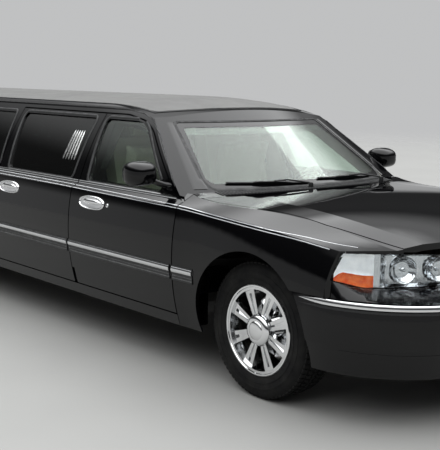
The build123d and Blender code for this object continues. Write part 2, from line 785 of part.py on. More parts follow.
# Rear axle with its differential, coil springs and the long propeller shaft
axle_tube, spindle_radius = 45, 30
rear_wheel_y, front_wheel_y = rear_track / 2, front_track / 2
axle_end = rear_wheel_y - 30
spindle_end = rear_wheel_y + 75
axle = rod((rear(0), -axle_end, axle_z), (rear(0), axle_end, axle_z), axle_tube)
axle += rod((rear(0), -spindle_end, axle_z), (rear(0), spindle_end, axle_z), spindle_radius)
axle += Pos(rear(0), 0, axle_z) * Sphere(150)
axle += rod((rear(0), 0, shaft_z), (rear(200), 0, shaft_z), 55)
for y in (-520, 520):
    axle += block((rear(-60), rear(60)), (y - 50, y + 50), (axle_z, axle_z + 55))
    axle += rod((rear(0), y, axle_z + 50), (rear(0), y, rear_rail_zs[0]), 48)
keep("rear_axle", axle + rod((rear(200), 0, shaft_z), (front(-760), 0, shaft_z), shaft_radius))

# Twin exhausts: under the floor, over the axle and out below the bumper
pipe_radius, pipe_y = 26, 330
pipe_route = [(front(-500), 300), (rear(520), 300), (rear(260), 452), (rear(-260), 452), (rear(-520), 300)]
pipe_route.append((rear(-1390), 266))
pipe_line = FilletPolyline(*[(x, pipe_y, z) for x, z in pipe_route], radius=110)
start = Plane(origin=pipe_line @ 0, z_dir=pipe_line % 0)
exhaust = sweep(start * Circle(pipe_radius), path=pipe_line)
muffler_x = rear(1250)
exhaust += rod((muffler_x - 300, pipe_y, 295), (muffler_x + 300, pipe_y, 295), 45)
keep("exhaust", *both(exhaust))
keep("fuel_tank", block((rear(-940), rear(-430)), (-270, 270), (380, boot_floor_z)))

# Front suspension links and the steered knuckles between them
kingpin_y = front_wheel_y - 75
kingpin_radius = 18
knuckle_zs = (284, 424)
lower_link_zs, upper_link_zs = (250, 280), (440, 464)
links = []
for zs in (lower_link_zs, upper_link_zs):
    eye = rod((front(0), kingpin_y, zs[0]), (front(0), kingpin_y, zs[1]), 34)
    link = block((front(-32), front(32)), (cross_half, kingpin_y), zs) + eye
    links.append(link - rod((front(0), kingpin_y, 200), (front(0), kingpin_y, 500), kingpin_radius + running_clearance))
keep("front_suspension", *[solid for link in links for solid in both(link)])
knuckle = rod((front(0), kingpin_y, knuckle_zs[0]), (front(0), kingpin_y, knuckle_zs[1]), 38)
knuckle += rod((front(0), kingpin_y, 245), (front(0), kingpin_y, 470), kingpin_radius)
knuckle += rod((front(0), kingpin_y, axle_z), (front(0), front_wheel_y + 75, axle_z), spindle_radius)
knuckle += block((front(-150), front(-20)), (kingpin_y - 20, kingpin_y + 10), (300, 324))
left_right("knuckle", knuckle)

# Wheels: a tyre on a rim with eight broad, double-ribbed spokes
bead_radius, flange_radius = 218, 231
rim_half, flange_wall = 92, 8
barrel_wall = 12
spoke_count = 8
hub_radius, hub_bore = 72, spindle_radius + running_clearance


def turned(points, arcs=()):
    """A solid of revolution about the Y axis, from an outline of (radius, y) points. arcs gives the index of an
    edge and the point that it passes through."""
    vias = dict(arcs)
    edges = []
    for n, (a, b) in enumerate(zip(points, points[1:] + points[:1])):
        start, end = (a[0], a[1], 0), (b[0], b[1], 0)
        if n in vias:
            edges.append(ThreePointArc(start, (vias[n][0], vias[n][1], 0), end))
        else:
            edges.append(Line(start, end))
    return revolve(Face(Wire(edges)), axis=Axis.Y)


tyre_half = tyre_width / 2
sidewall_radius = 290
tyre_points = [
    (bead_radius + play, -rim_half),
    (flange_radius + 1, -rim_half),
    (sidewall_radius, -tyre_half),
    (tyre_radius - 14, -tyre_half + 14),
    (tyre_radius, -tyre_half + 34),
    (tyre_radius, tyre_half - 34),
    (tyre_radius - 14, tyre_half - 14),
    (sidewall_radius, tyre_half),
    (flange_radius + 1, rim_half),
    (bead_radius + play, rim_half),
]
tyre = turned(tyre_points)

rim_points = [
    (bead_radius - barrel_wall, -rim_half - flange_wall),
    (flange_radius, -rim_half - flange_wall),
    (flange_radius, -rim_half),
    (bead_radius, -rim_half),
    (bead_radius, rim_half),
    (flange_radius, rim_half),
    (flange_radius, rim_half + flange_wall),
    (bead_radius - barrel_wall, rim_half + flange_wall),
]
hub_points = [(0, 76), (hub_bore, 76), (hub_bore, -30), (52, -30), (52, 40), (hub_radius, 48), (hub_radius, 84)]
hub_points += [(52, 92), (48, 104), (0, 112)]
disc_points = [(50, -30), (150, -30), (150, -6), (50, -6)]
rim = turned(rim_points) + turned(hub_points) + turned(disc_points)


def tapered(start, end, root_half, tip_half):
    """A flat outline about the X axis that widens from its root to its tip."""
    return Polygon((start, -root_half), (end, -tip_half), (end, tip_half), (start, root_half), align=None)


spoke_face = tapered(hub_radius - 8, bead_radius - 8, 19, 33)
groove = tapered(hub_radius + 12, bead_radius - 30, 4, 9)
to_wheel = Plane(origin=(0, 0, 0), x_dir=(1, 0, 0), z_dir=(0, 1, 0))
spoke_y = (52, 86)


def wheel_prism(sketch, ys):
    return extrude(Pos(0, ys[0], 0) * (to_wheel * sketch), amount=ys[1] - ys[0], dir=(0, 1, 0))


spoke = wheel_prism(spoke_face, spoke_y) - wheel_prism(groove, (spoke_y[1] - 12, spoke_y[1] + 5))
for n in range(spoke_count):
    rim += Rot(0, (n + 0.5) * 360 / spoke_count, 0) * spoke

wheel_places = {
    "front_left": (front(0), front_wheel_y, 1),
    "front_right": (front(0), -front_wheel_y, -1),
    "rear_left": (rear(0), rear_wheel_y, 1),
    "rear_right": (rear(0), -rear_wheel_y, -1),
}
for name, (x, y, side) in wheel_places.items():
    for kind, solid in (("tyre", tyre), ("rim", rim)):
        turned_out = solid if side == 1 else mirror(solid, about=Plane.XZ)
        keep(f"{kind}_{name}", Pos(x, y, axle_z) * turned_out)

# Door mirrors on the front doors
mirror_body = fillet(block((front(-910), front(-745)), (925, 1100), (1000, 1138)).edges(), 38)
mirror_body += block((front(-800), front(-735)), (850, 950), (985, 1030))
left_right("mirror", mirror_body - body_out)

# Cabin: driver's compartment, partition, and the lounge behind it
cabin_floor = floor_z + floor_sheet


def across(points, y0, y1):
    sketch = Polygon(*points, align=None)
    return Pos(0, y0, 0) * extrude(Plane.XZ * sketch, amount=y1 - y0, dir=(0, 1, 0))


dash_points = [(-500, 620), (-500, 890), (-620, 905), (-760, 870), (-790, 760), (-640, 640)]
dashboard = across([(front(x), z) for x, z in dash_points], -pillar_inner + 10, pillar_inner - 10)
keep("dashboard", dashboard)

wheel_centre = (front(-930), 370, 860)
wheel_plane = Plane(origin=wheel_centre, z_dir=Vector(-0.9, 0, 0.42))
steering = wheel_plane * (Torus(182, 14) + Pos(0, 0, -12) * Cylinder(60, 36))
for angle in (0, 120, 240):
    steering += wheel_plane * (Rot(0, 0, angle + 90) * (Pos(115, 0, -6) * Box(130, 26, 12)))
steering += wheel_plane * (Pos(0, 0, -130) * Cylinder(28, 220)) - dashboard
keep("steering_wheel", steering.solids().sort_by(SortBy.VOLUME)[-1])

seat_points = [(-1040, 0), (-1600, 0), (-1600, 150), (-1760, 790), (-1650, 790), (-1520, 270), (-1040, 270)]
front_seat = across([(front(x), cabin_floor + z) for x, z in seat_points], 120, 640)
headrest_points = [(-1760, 790), (-1775, 930), (-1690, 930), (-1670, 790)]
front_seat += across([(front(x), cabin_floor + z) for x, z in headrest_points], 270, 490)
keep("front_seats", *both(front_seat))

partition_x = (front(-1860), front(-1835))
partition = pillar_void & block(partition_x, (-reach, reach), (cabin_floor, rail_z - 5))
partition -= block((front(-1900), front(-1800)), (-430, 430), (880, 1230))
keep("partition", partition)

seat_back = [(330, 597), (478, 597), (478, 702), (600, 702), (400, 1200), (250, 1200)]
rear_back = across([(rear(x), z) for x, z in seat_back], -620, 620)
rear_cushion = block((kick_up_x + 2, kick_up_x + 520), (-780, 780), (cabin_floor, 700))
keep("rear_seat", rear_cushion, rear_back)
bench_x = (kick_up_x + 700, front(-2500))
bench = block(bench_x, (300, 790), (cabin_floor, 690)) + block(bench_x, (690, 780), (685, 950))
keep("side_bench", bench)
bar = block((kick_up_x + 800, front(-3000)), (-800, -520), (cabin_floor, 820))
keep("bar_cabinet", bar)

for name, solid in nodes.items():
    b = solid.bounding_box()
    size = [round(v) for v in (b.min.X, b.max.X, b.min.Y, b.max.Y, b.min.Z, b.max.Z)]
    print(name, round(solid.volume / 1e6, 1), solid.is_valid, len(solid.solids()), size)
    export_step(solid, f"parts/{name}.step")
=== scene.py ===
import math

import bmesh
import bpy
import numpy as np
from mathutils import Matrix, Vector
from mathutils.bvhtree import BVHTree


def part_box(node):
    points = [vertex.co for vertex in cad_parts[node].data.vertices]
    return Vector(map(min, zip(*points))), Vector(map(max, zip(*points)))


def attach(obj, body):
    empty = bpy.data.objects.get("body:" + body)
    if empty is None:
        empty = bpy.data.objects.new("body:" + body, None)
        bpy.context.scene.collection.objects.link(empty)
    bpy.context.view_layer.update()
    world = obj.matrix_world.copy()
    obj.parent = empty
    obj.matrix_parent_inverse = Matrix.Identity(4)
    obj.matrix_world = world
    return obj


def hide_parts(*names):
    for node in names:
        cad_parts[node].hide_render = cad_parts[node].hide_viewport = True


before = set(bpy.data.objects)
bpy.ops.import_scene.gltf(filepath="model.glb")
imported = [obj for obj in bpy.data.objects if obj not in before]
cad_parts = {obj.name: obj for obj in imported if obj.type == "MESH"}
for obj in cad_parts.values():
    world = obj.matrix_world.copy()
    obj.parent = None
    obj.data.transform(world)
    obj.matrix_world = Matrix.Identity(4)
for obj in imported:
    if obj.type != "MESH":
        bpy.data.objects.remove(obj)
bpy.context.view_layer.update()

# Camera: stands off the right front corner at a person's eye height and looks back along the car, so that
# the near wheel and headlamp fill the lower right and the stretched side runs out of the picture on the
# left.
camera_place = Vector((6.607, -4.090, 1.599))
camera_yaw, camera_pitch, camera_roll = (math.radians(angle) for angle in (139.223, -8.769, 0.899))
camera_lens, camera_sensor = 77.19, 36.0
ahead = Vector((math.cos(camera_yaw), math.sin(camera_yaw), 0)) * math.cos(camera_pitch)
ahead.z = math.sin(camera_pitch)
level = Vector((math.sin(camera_yaw), -math.cos(camera_yaw), 0))
upward = level.cross(ahead)
right = level * math.cos(camera_roll) + upward * math.sin(camera_roll)
upward = upward * math.cos(camera_roll) - level * math.sin(camera_roll)
camera = bpy.data.objects.new("camera", bpy.data.cameras.new("camera"))
camera.data.lens, camera.data.sensor_width = camera_lens, camera_sensor
camera.matrix_world = Matrix.Translation(camera_place) @ Matrix((right, upward, -ahead)).transposed().to_4x4()
bpy.context.scene.collection.objects.link(camera)
bpy.context.scene.camera = camera
bpy.context.scene.view_settings.view_transform = "Standard"


def linear(code):
    """A colour written as sRGB hex, turned to the linear values that sockets take."""
    parts = [int(code[n : n + 2], 16) / 255 for n in (1, 3, 5)]
    return [v / 12.92 if v <= 0.04045 else ((v + 0.055) / 1.055) ** 2.4 for v in parts] + [1.0]


def add(tree, kind, inputs=None, **settings):
    """Adds one node, sets its properties, and fills its inputs with values or with links."""
    node = tree.nodes.new(kind)
    for key, value in settings.items():
        setattr(node, key, value)
    for key, value in (inputs or {}).items():
        if isinstance(value, bpy.types.NodeSocket):
            tree.links.new(value, node.inputs[key])
        else:
            node.inputs[key].default_value = value
    return node


# Studio: a pale cyclorama at the horizon, a dark flag above it and a bright soft ceiling, so that black
# lacquer shows its shape by long soft highlights along the panels' upper edges. It is one plain gradient
# with height.
dome_tint, dome_power = "#F8F9FA", 3.3
# Each stop of the dome: height of the direction (the sine of its elevation) and brightness
dome_stops = (
    (0.0, 0.17), (0.085, 0.17), (0.14, 0.012), (0.34, 0.02), (0.50, 0.20), (0.62, 0.90), (1.0, 1.0),
)
world = bpy.data.worlds.new("studio")
bpy.context.scene.world = world
world.use_nodes = True
tree = world.node_tree
tree.nodes.clear()
direction = add(tree, "ShaderNodeSeparateXYZ", {0: add(tree, "ShaderNodeTexCoord").outputs["Generated"]})
shade = add(tree, "ShaderNodeValToRGB", {0: direction.outputs["Z"]})
shade.color_ramp.interpolation = "EASE"
for stop, (height, bright) in enumerate(dome_stops):
    spot = shade.color_ramp.elements[stop] if stop < 2 else shade.color_ramp.elements.new(height)
    spot.position = height
    spot.color = [bright * part for part in linear(dome_tint)[:3]] + [1.0]
glow = add(tree, "ShaderNodeBackground", {"Color": shade.outputs[0], "Strength": dome_power})
add(tree, "ShaderNodeOutputWorld", {"Surface": glow.outputs[0]})

# The softboxes light the car but are hidden from its reflections, where each would be a hard white patch.
# Each softbox: name, place, the point it faces, width, length and power in watts
softboxes = (
    ("near_side", (5.5, -6.5, 4.2), (2.0, -0.5, 0.6), 2.0, 3.0, 60),
    ("far_side", (-1.0, 7.0, 7.5), (0.0, 0.0, 0.8), 1.2, 7.0, 120),
)
for name, stand, target, width, length, power in softboxes:
    light = bpy.data.lights.new(name, "AREA")
    light.shape, light.size, light.size_y, light.energy = "RECTANGLE", length, width, power
    lamp = bpy.data.objects.new(name, light)
    lamp.location = stand
    lamp.visible_glossy = False
    lamp.rotation_euler = (Vector(target) - Vector(stand)).to_track_quat("-Z", "Y").to_euler()
    bpy.context.scene.collection.objects.link(lamp)


def finish(name, color, metallic, roughness, inputs=None):
    """Starts the material of one finish, with its plain values on its shader's own sockets."""
    material = bpy.data.materials.new(name)
    material.use_nodes = True
    made = material.node_tree
    made.nodes.clear()
    plain = {"Base Color": linear(color), "Metallic": metallic, "Roughness": roughness, **(inputs or {})}
    shader = add(made, "ShaderNodeBsdfPrincipled", plain)
    add(made, "ShaderNodeOutputMaterial", {"Surface": shader.outputs[0]})
    return material


def texture(tree, size_mm, kind="Noise", stretch=(1, 1, 1), **inputs):
    """A pattern whose cells have a real size on the object, lengthened along its axes by stretch."""
    spot = add(tree, "ShaderNodeTexCoord").outputs["Object"]
    if stretch != (1, 1, 1):
        scale = tuple(1 / s for s in stretch)
        spot = add(tree, "ShaderNodeMapping", {"Vector": spot, "Scale": scale}).outputs[0]
    return add(tree, f"ShaderNodeTex{kind}", {"Vector": spot, "Scale": 1000 / size_mm, **inputs}).outputs[0]


# Most of a noise pattern's values lie between these two
pattern_low, pattern_high = 0.35, 0.65


def vary(material, socket, low, high, size_mm, **pattern):
    """Lets a pattern move one socket of a material between two numbers or two hex colours."""
    tree = material.node_tree
    target = tree.nodes["Principled BSDF"].inputs[socket]
    whole = {"Value": texture(tree, size_mm, **pattern), "From Min": pattern_low, "From Max": pattern_high}
    if isinstance(low, str):
        part = add(tree, "ShaderNodeMapRange", whole).outputs[0]
        mixed = add(tree, "ShaderNodeMix", {0: part, 6: linear(low), 7: linear(high)}, data_type="RGBA")
        tree.links.new(mixed.outputs[2], target)
    else:
        mixed = add(tree, "ShaderNodeMapRange", {**whole, "To Min": low, "To Max": high})
        tree.links.new(mixed.outputs[0], target)


def emboss(material, height_mm, size_mm, socket="Normal", **pattern):
    """Raises a pattern from a material's surface by a real height."""
    tree = material.node_tree
    target = tree.nodes["Principled BSDF"].inputs[socket]
    inputs = {"Height": texture(tree, size_mm, **pattern), "Distance": height_mm / 1000}
    if target.links:
        inputs["Normal"] = target.links[0].from_socket
    tree.links.new(add(tree, "ShaderNodeBump", inputs).outputs[0], target)


# Floor: a plain pale sheet of painted board under the wheels. It is a round sheet that fades into the room
# far from the car, so that no edge shows from any side.
floor_radius, floor_fade, floor_edges = 26.0, (11.0, 25.0), 96
# Matt floor paint: a plain pale grey with faint broad drifts of tone and a fine stipple.
floor_sheet = finish("matt_floor_paint", "#8B8B89", 0.0, 0.6)
emboss(floor_sheet, 0.15, 9.0, Detail=4.0)
vary(floor_sheet, "Base Color", "#8A8A88", "#8D8D8B", 900.0)
tree = floor_sheet.node_tree
surface, surface_end = tree.nodes["Principled BSDF"], tree.nodes["Material Output"]
spot = add(tree, "ShaderNodeTexCoord").outputs["Object"]
reach = add(tree, "ShaderNodeVectorMath", {0: spot}, operation="LENGTH").outputs["Value"]
fade_ends = {0: reach, 1: floor_fade[0], 2: floor_fade[1]}
faded = add(tree, "ShaderNodeMapRange", fade_ends, interpolation_type="SMOOTHSTEP")
clear = add(tree, "ShaderNodeBsdfTransparent")
add(tree, "ShaderNodeMixShader", {0: faded.outputs[0], 1: surface.outputs[0], 2: clear.outputs[0]})
tree.links.new(tree.nodes[-1].outputs[0], surface_end.inputs["Surface"])


def build(name, mesh, material, smooth=40.0):
    """Makes an object at the origin from a bmesh, smooth-shaded up to an edge angle in degrees."""
    bmesh.ops.recalc_face_normals(mesh, faces=mesh.faces)
    data = bpy.data.meshes.new(name)
    mesh.to_mesh(data)
    mesh.free()
    data.materials.append(material)
    if smooth:
        data.shade_smooth()
        data.set_sharp_from_angle(angle=math.radians(smooth))
    piece = bpy.data.objects.new(name, data)
    bpy.context.scene.collection.objects.link(piece)
    return piece


mesh = bmesh.new()
bmesh.ops.create_circle(mesh, cap_ends=True, radius=floor_radius, segments=floor_edges)
floor = build("floor", mesh, floor_sheet, smooth=0)


# Frame: a welded ladder frame with its cross-members, pressed links and fuel tank, under brushed black
# chassis paint. The engine, axle and knuckles are rough iron castings, and the exhaust is aluminised tube.
def dress(material, *names):
    """Gives CAD nodes their finish; their shape stays as it is."""
    for name in names:
        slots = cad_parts[name].data.materials
        slots.clear()
        slots.append(material)


sides = {"left": 1, "right": -1}
# Chassis paint: brushed black, with brown dust in its tone.
chassis_paint = finish("brushed_chassis_paint", "#1B1C1E", 0.0, 0.5)
vary(chassis_paint, "Roughness", 0.38, 0.7, 60.0, Detail=5.0)
vary(chassis_paint, "Base Color", "#151617", "#2B2927", 180.0, Detail=4.0)
emboss(chassis_paint, 0.25, 5.0, Detail=3.0)
dress(chassis_paint, "frame_rail_left", "frame_rail_right", "cross_members", "front_suspension", "fuel_tank")

# Underseal: sprayed bitumen, dull and coarsely stippled.
underseal = finish("stippled_underseal", "#26272A", 0.0, 0.75)
vary(underseal, "Base Color", "#1F2022", "#35332F", 120.0, Detail=4.0)
emboss(underseal, 0.6, 7.0, kind="Voronoi")
dress(underseal, "floor_pan")

# Sand-cast iron: rough grey-brown metal that shows the grain of its mould.
cast_iron = finish("sand_cast_iron", "#4B4845", 0.85, 0.6)
vary(cast_iron, "Base Color", "#3A3735", "#5C564F", 70.0, Detail=5.0)
vary(cast_iron, "Roughness", 0.45, 0.75, 25.0)
emboss(cast_iron, 0.3, 2.5, Detail=4.0)
dress(cast_iron, "engine_block", "rear_axle", "knuckle_left", "knuckle_right")

# Aluminised tube: dull silver, browned in patches.
exhaust_tube = finish("aluminised_exhaust_tube", "#A3A19B", 1.0, 0.36)
vary(exhaust_tube, "Base Color", "#8D8577", "#B4B2AC", 160.0, Detail=4.0)
vary(exhaust_tube, "Roughness", 0.28, 0.5, 14.0, stretch=(6, 1, 1))
dress(exhaust_tube, "exhaust")

# Radiator core: black fins that catch the light as thin ridges.
radiator_fins = finish("black_radiator_core", "#17181A", 0.6, 0.55)
emboss(radiator_fins, 0.8, 3.5, stretch=(1, 40, 1))
dress(radiator_fins, "radiator")

# Painted body: pressed steel wings, doors, sides, quarters and lids, and moulded bumper covers, all in
# black base coat under clear lacquer. Inside the cabin the doors and sides wear vinyl cards, and the roof a
# headlining.
front_axle = sum((corner.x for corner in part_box("tyre_front_left")), 0.0) / 2
rear_axle = sum((corner.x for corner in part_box("tyre_rear_left")), 0.0) / 2
axle_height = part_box("tyre_front_left")[1].z / 2

# Lacquered paint: black, with deep sharp reflections and a faint orange peel.
lacquer = {"Specular IOR Level": 0.0, "Coat Weight": 1.0, "Coat Roughness": 0.008, "Coat IOR": 1.4}
body_paint = finish("lacquered_black_paint", "#030304", 0.0, 0.4, lacquer)
vary(body_paint, "Roughness", 0.3, 0.5, 350.0, Detail=4.0)
emboss(body_paint, 0.012, 22.0, Detail=1.0, socket="Coat Normal")
painted = ["hood", "boot_lid", "rear_deck", "bumper_front", "bumper_rear", "cowl_panel", "door_middle_right"]
for side in sides:
    paired = ("wing", "quarter", "body_side", "door_front", "door_rear", "mirror")
    painted += [f"{kind}_{side}" for kind in paired]
dress(body_paint, *painted)

# Door card vinyl: warm grey and softly grained.
door_card = finish("stitched_vinyl_door_card", "#8F8B82", 0.0, 0.55)
vary(door_card, "Base Color", "#88847B", "#969288", 220.0, Detail=3.0)
emboss(door_card, 0.2, 3.0, kind="Voronoi")
# Knitted headlining: pale cloth with small loops and no gloss.
headlining = finish("knitted_headlining", "#A8A399", 0.0, 0.9, {"Sheen Weight": 0.3})
emboss(headlining, 0.3, 2.2, kind="Voronoi")
vary(headlining, "Base Color", "#9F9A90", "#AFAAA0", 90.0, Detail=4.0)


def line_inside(name, material, toward):
    """Gives the faces of a CAD node that look along toward another finish; their shape stays as it is."""
    least_facing = 0.15
    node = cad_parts[name].data
    node.materials.append(material)
    for face in node.polygons:
        if face.normal.dot(toward) > least_facing:
            face.material_index = 1


for side, out in sides.items():
    for kind in ("door_front", "door_rear", "body_side"):
        line_inside(f"{kind}_{side}", door_card, Vector((0, -out, 0)))
line_inside("door_middle_right", door_card, Vector((0, 1, 0)))

# Roof: the pressed roof keeps a painted rim, and a vinyl cover is stretched over it and glued down. A round
# rubber bead is glued along the vinyl's edge, all round the cover.
# Roof vinyl: black vinyl, its base colour lifted to grey as a painted sheen for the pale reflection it shows
# at grazing angles, with a fine leather grain and a dull sheen.
roof_vinyl = finish("leather_grained_roof_vinyl", "#545452", 0.0, 0.62, {"Sheen Weight": 0.15})
vary(roof_vinyl, "Base Color", "#50504F", "#595957", 260.0, Detail=8.0)
vary(roof_vinyl, "Roughness", 0.55, 0.72, 130.0, Detail=4.0)
emboss(roof_vinyl, 0.5, 9.0, kind="Voronoi")
emboss(roof_vinyl, 0.15, 2.6, Detail=2.0)
dress(body_paint, "roof_panel")
line_inside("roof_panel", headlining, Vector((0, 0, -1)))


def skin_of(*names):
    """The surface of some CAD nodes, for laying trim on."""
    corners, faces = [], []
    for name in names:
        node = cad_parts[name].data
        faces += [[i + len(corners) for i in face.vertices] for face in node.polygons]
        corners += [vertex.co.copy() for vertex in node.vertices]
    return BVHTree.FromPolygons(corners, faces)


def touch(skin, start, toward):
    """Where a line from start first meets the skin, with the skin's outward normal there, or None."""
    spot, normal, _, _ = skin.ray_cast(Vector(start), Vector(toward).normalized())
    if spot is None:
        return None
    return spot, normal if normal.dot(Vector(toward)) < 0 else -normal


def fill_rows(mesh, rows, closed=False):
    """Fills the squares between rows of a mesh's points; closed joins each row's end to its start."""
    for one, two in zip(rows, rows[1:]):
        for k in range(len(one) if closed else len(one) - 1):
            after = (k + 1) % len(one)
            mesh.faces.new((one[k], one[after], two[after], two[k]))


def sheet_over(grid, lift, edge):
    """A sheet over a grid of touched spots, raised by lift, its rim rolled down and sunk into the surface."""
    rim_sink = 0.002
    mesh = bmesh.new()
    top = []
    for r, row in enumerate(grid):
        top.append([])
        for c, (spot, normal) in enumerate(row):
            rim = min(r, len(grid) - 1 - r, c, len(row) - 1 - c)
            raised = lift * math.sin(min(1.0, (rim + 0.001) / edge) * math.pi / 2)
            top[r].append(mesh.verts.new(spot + normal * (raised - (rim_sink if rim == 0 else 0))))
    fill_rows(mesh, top)
    return mesh


roof_skin = skin_of("roof_panel", *[f"{kind}_{side}" for kind in ("body_side", "quarter") for side in sides])
roof_low, roof_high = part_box("roof_panel")
cover_half, cover_lift, cover_rows, cover_columns, above_roof = 0.618, 0.006, 60, 30, 2.0
# How far the cover's edge stays inside the roof panel's at the corners, and how far it bows out in the
# middle
front_inset, front_bow, rear_inset, rear_bow = 0.235, 0.115, 0.185, 0.065
cover_grid = []
for r in range(cover_rows + 1):
    share = r / cover_rows
    row = []
    for c in range(cover_columns + 1):
        across = 2 * c / cover_columns - 1
        bow = 1 - across * across
        front_edge = roof_high.x - front_inset + front_bow * bow
        rear_edge = roof_low.x + rear_inset - rear_bow * bow
        x = rear_edge + (front_edge - rear_edge) * share
        row.append(touch(roof_skin, (x, across * cover_half, above_roof), (0, 0, -1)))
    cover_grid.append(row)


def place(name, mesh, material, body="root", smooth=40.0):
    """Builds a finished piece and rides it on its body."""
    piece = build(name, mesh, material, smooth)
    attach(piece, body)
    return piece


place("roof_cover", sheet_over(cover_grid, cover_lift, 2), roof_vinyl, smooth=60)


def sweep(stations, profile, closed=False, taper=0):
    """A bar along stations of (spot, out, up), with its section as (up, out) pairs. closed joins its end to
    its start; taper is the number of stations over which each end thins."""
    mesh = bmesh.new()
    rings = []
    count = len(stations)
    for n, (spot, out, up) in enumerate(stations):
        if taper and not closed:
            end = min(n, count - 1 - n)
            size = math.sin(min(1.0, (end + 0.25) / taper) * math.pi / 2)
        else:
            size = 1.0
        rings.append([mesh.verts.new(spot + up * (a * size) + out * (b * size)) for a, b in profile])
    turns = count if closed else count - 1
    width = len(profile)
    for n in range(turns):
        one, two = rings[n], rings[(n + 1) % count]
        for k in range(width):
            mesh.faces.new((one[k], one[(k + 1) % width], two[(k + 1) % width], two[k]))
    if not closed:
        mesh.faces.new(rings[0])
        mesh.faces.new(list(reversed(rings[-1])))
    return mesh


def joined(*meshes):
    """Several bmeshes as one."""
    whole = bmesh.new()
    for mesh in meshes:
        data = bpy.data.meshes.new("part")
        mesh.to_mesh(data)
        mesh.free()
        whole.from_mesh(data)
        bpy.data.meshes.remove(data)
    return whole


def framed(spots_and_normals, closed=False):
    """Turns touched (spot, normal) pairs into stations, with up square to the run and to the surface. Lines
    that missed the surface are left out."""
    found = [pair for pair in spots_and_normals if pair]
    stations = []
    count = len(found)
    for n, (spot, out) in enumerate(found):
        after = found[(n + 1) % count if closed else min(n + 1, count - 1)][0]
        before = found[n - 1 if closed else max(n - 1, 0)][0]
        along = (after - before).normalized()
        up = out.cross(along).normalized()
        square = along.cross(up)
        stations.append((spot, square.normalized() if square.dot(out) > 0 else -square, up))
    return stations


# Moulded rubber: near black and dull, with a faint skin texture.
rubber = finish("moulded_epdm_rubber", "#101112", 0.0, 0.55)
vary(rubber, "Roughness", 0.45, 0.68, 40.0, Detail=3.0)
emboss(rubber, 0.08, 3.0, Detail=2.0)
bead_radius = 0.0045
eighths = [n * math.pi / 4 for n in range(8)]
round_bead = [(math.cos(turn) * bead_radius, math.sin(turn) * bead_radius) for turn in eighths]
rim = [row[0] for row in cover_grid] + cover_grid[-1][1:-1]
rim += [row[-1] for row in reversed(cover_grid)] + cover_grid[0][-2:0:-1]
place("roof_bead", sweep(framed(rim, True), round_bead, closed=True), rubber)

# Glass: a laminated windscreen and toughened front door glass, both tinted green, and near-black privacy
# glass in the lounge and at the back. All of it is float glass, which is smooth and flat.
# Tinted glass: clear, with a breath of green and faint dust.
clear_glass = finish("green_tinted_laminated_glass", "#D3E3D8", 0.0, 0.0, {"Transmission Weight": 1.0})
vary(clear_glass, "Roughness", 0.0, 0.035, 160.0, Detail=5.0)
# Privacy glass: grey-black, so that the cabin behind it is only just seen.
privacy_glass = finish("dark_privacy_glass", "#3D4442", 0.0, 0.0, {"Transmission Weight": 1.0})
vary(privacy_glass, "Roughness", 0.0, 0.03, 160.0, Detail=5.0)
dress(clear_glass, "windscreen", "glass_front_left", "glass_front_right")
dress(privacy_glass, "rear_window", "glass_rear_left", "glass_rear_right", "glass_middle_right")
dress(privacy_glass, "glass_fixed")

# Window frames: each opening has a rubber channel round the glass, moulded in one piece and pushed on to the
# flange of the panel.
# Each opening: the axle that x is measured from, x of the low front, top front, top rear and low rear
# corners, and the radius of the top front one
sill_height, glass_top, channel_gap, corner_radius = 0.966, 1.330, 0.011, 0.040
side_eye = 1.4
openings = {
    "front": (front_axle, -0.752, -1.195, -1.600, -1.520, 0.271),
    "middle": (front_axle, -1.712, -1.712, -2.600, -2.505, corner_radius),
    "fixed_a": (front_axle, -2.650, -2.735, -3.615, -3.615, corner_radius),
    "fixed_b": (front_axle, -3.705, -3.705, -4.585, -4.560, corner_radius),
    "rear": (rear_axle, 1.290, 1.290, 0.455, 0.375, corner_radius),
}
carriers = {
    "left": {"front": "front_door_left", "rear": "rear_door_left"},
    "right": {"front": "front_door_right", "middle": "middle_door_right", "rear": "rear_door_right"},
}
side_kinds = ("door", "body_side", "wing", "quarter")
cabin_nodes = {
    side: skin_of(*[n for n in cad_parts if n.endswith(side) and n.startswith(side_kinds)])
    for side in sides
}


def from_side(skin, x, z, out):
    """Where a level line across the car, coming in from one side, first meets the skin."""
    return touch(skin, (x, out * side_eye, z), (0, -out, 0))


def rounded(corners, radii, steps=6, spacing=0.06):
    """A closed outline through flat corner points, each rounded by an arc, with points along its runs."""
    path = []
    count = len(corners)
    for n, (corner, radius) in enumerate(zip(corners, radii)):
        before, after = corners[n - 1] - corner, corners[(n + 1) % count] - corner
        turn = before.angle(after)
        reach = radius / math.tan(turn / 2)
        start, end = corner + before.normalized() * reach, corner + after.normalized() * reach
        halfway = (before.normalized() + after.normalized()).normalized()
        middle = corner + halfway * (radius / math.sin(turn / 2))
        for k in range(steps + 1):
            part = k / steps
            ray = ((start - middle) * (1 - part) + (end - middle) * part).normalized() * radius
            path.append(middle + ray)
    dense = []
    for a, b in zip(path, path[1:] + path[:1]):
        pieces = max(1, int((b - a).length / spacing))
        dense += [a.lerp(b, k / pieces) for k in range(pieces)]
    return dense


def window_path(name, grow):
    """The rounded outline of a window in side view, grown outwards, as (x, z) points."""
    origin, *xs, brow = openings[name]
    heights = (sill_height - grow, glass_top + grow, glass_top + grow, sill_height - grow)
    ahead_or_behind = (grow, grow, -grow, -grow)
    corners = [Vector((origin + x + d, z)) for x, d, z in zip(xs, ahead_or_behind, heights)]
    return rounded(corners, (corner_radius, brow, corner_radius, corner_radius))


channel = [(-0.011, -0.003), (-0.011, 0.002), (-0.006, 0.004), (0.004, 0.004), (0.009, 0.0), (0.009, -0.004)]
for side, out in sides.items():
    for name in openings:
        hits = [from_side(cabin_nodes[side], p.x, p.y, out) for p in window_path(name, channel_gap)]
        mesh = sweep(framed(hits, True), channel, closed=True)
        place(f"window_channel_{name}_{side}", mesh, rubber, carriers[side].get(name, "root"))

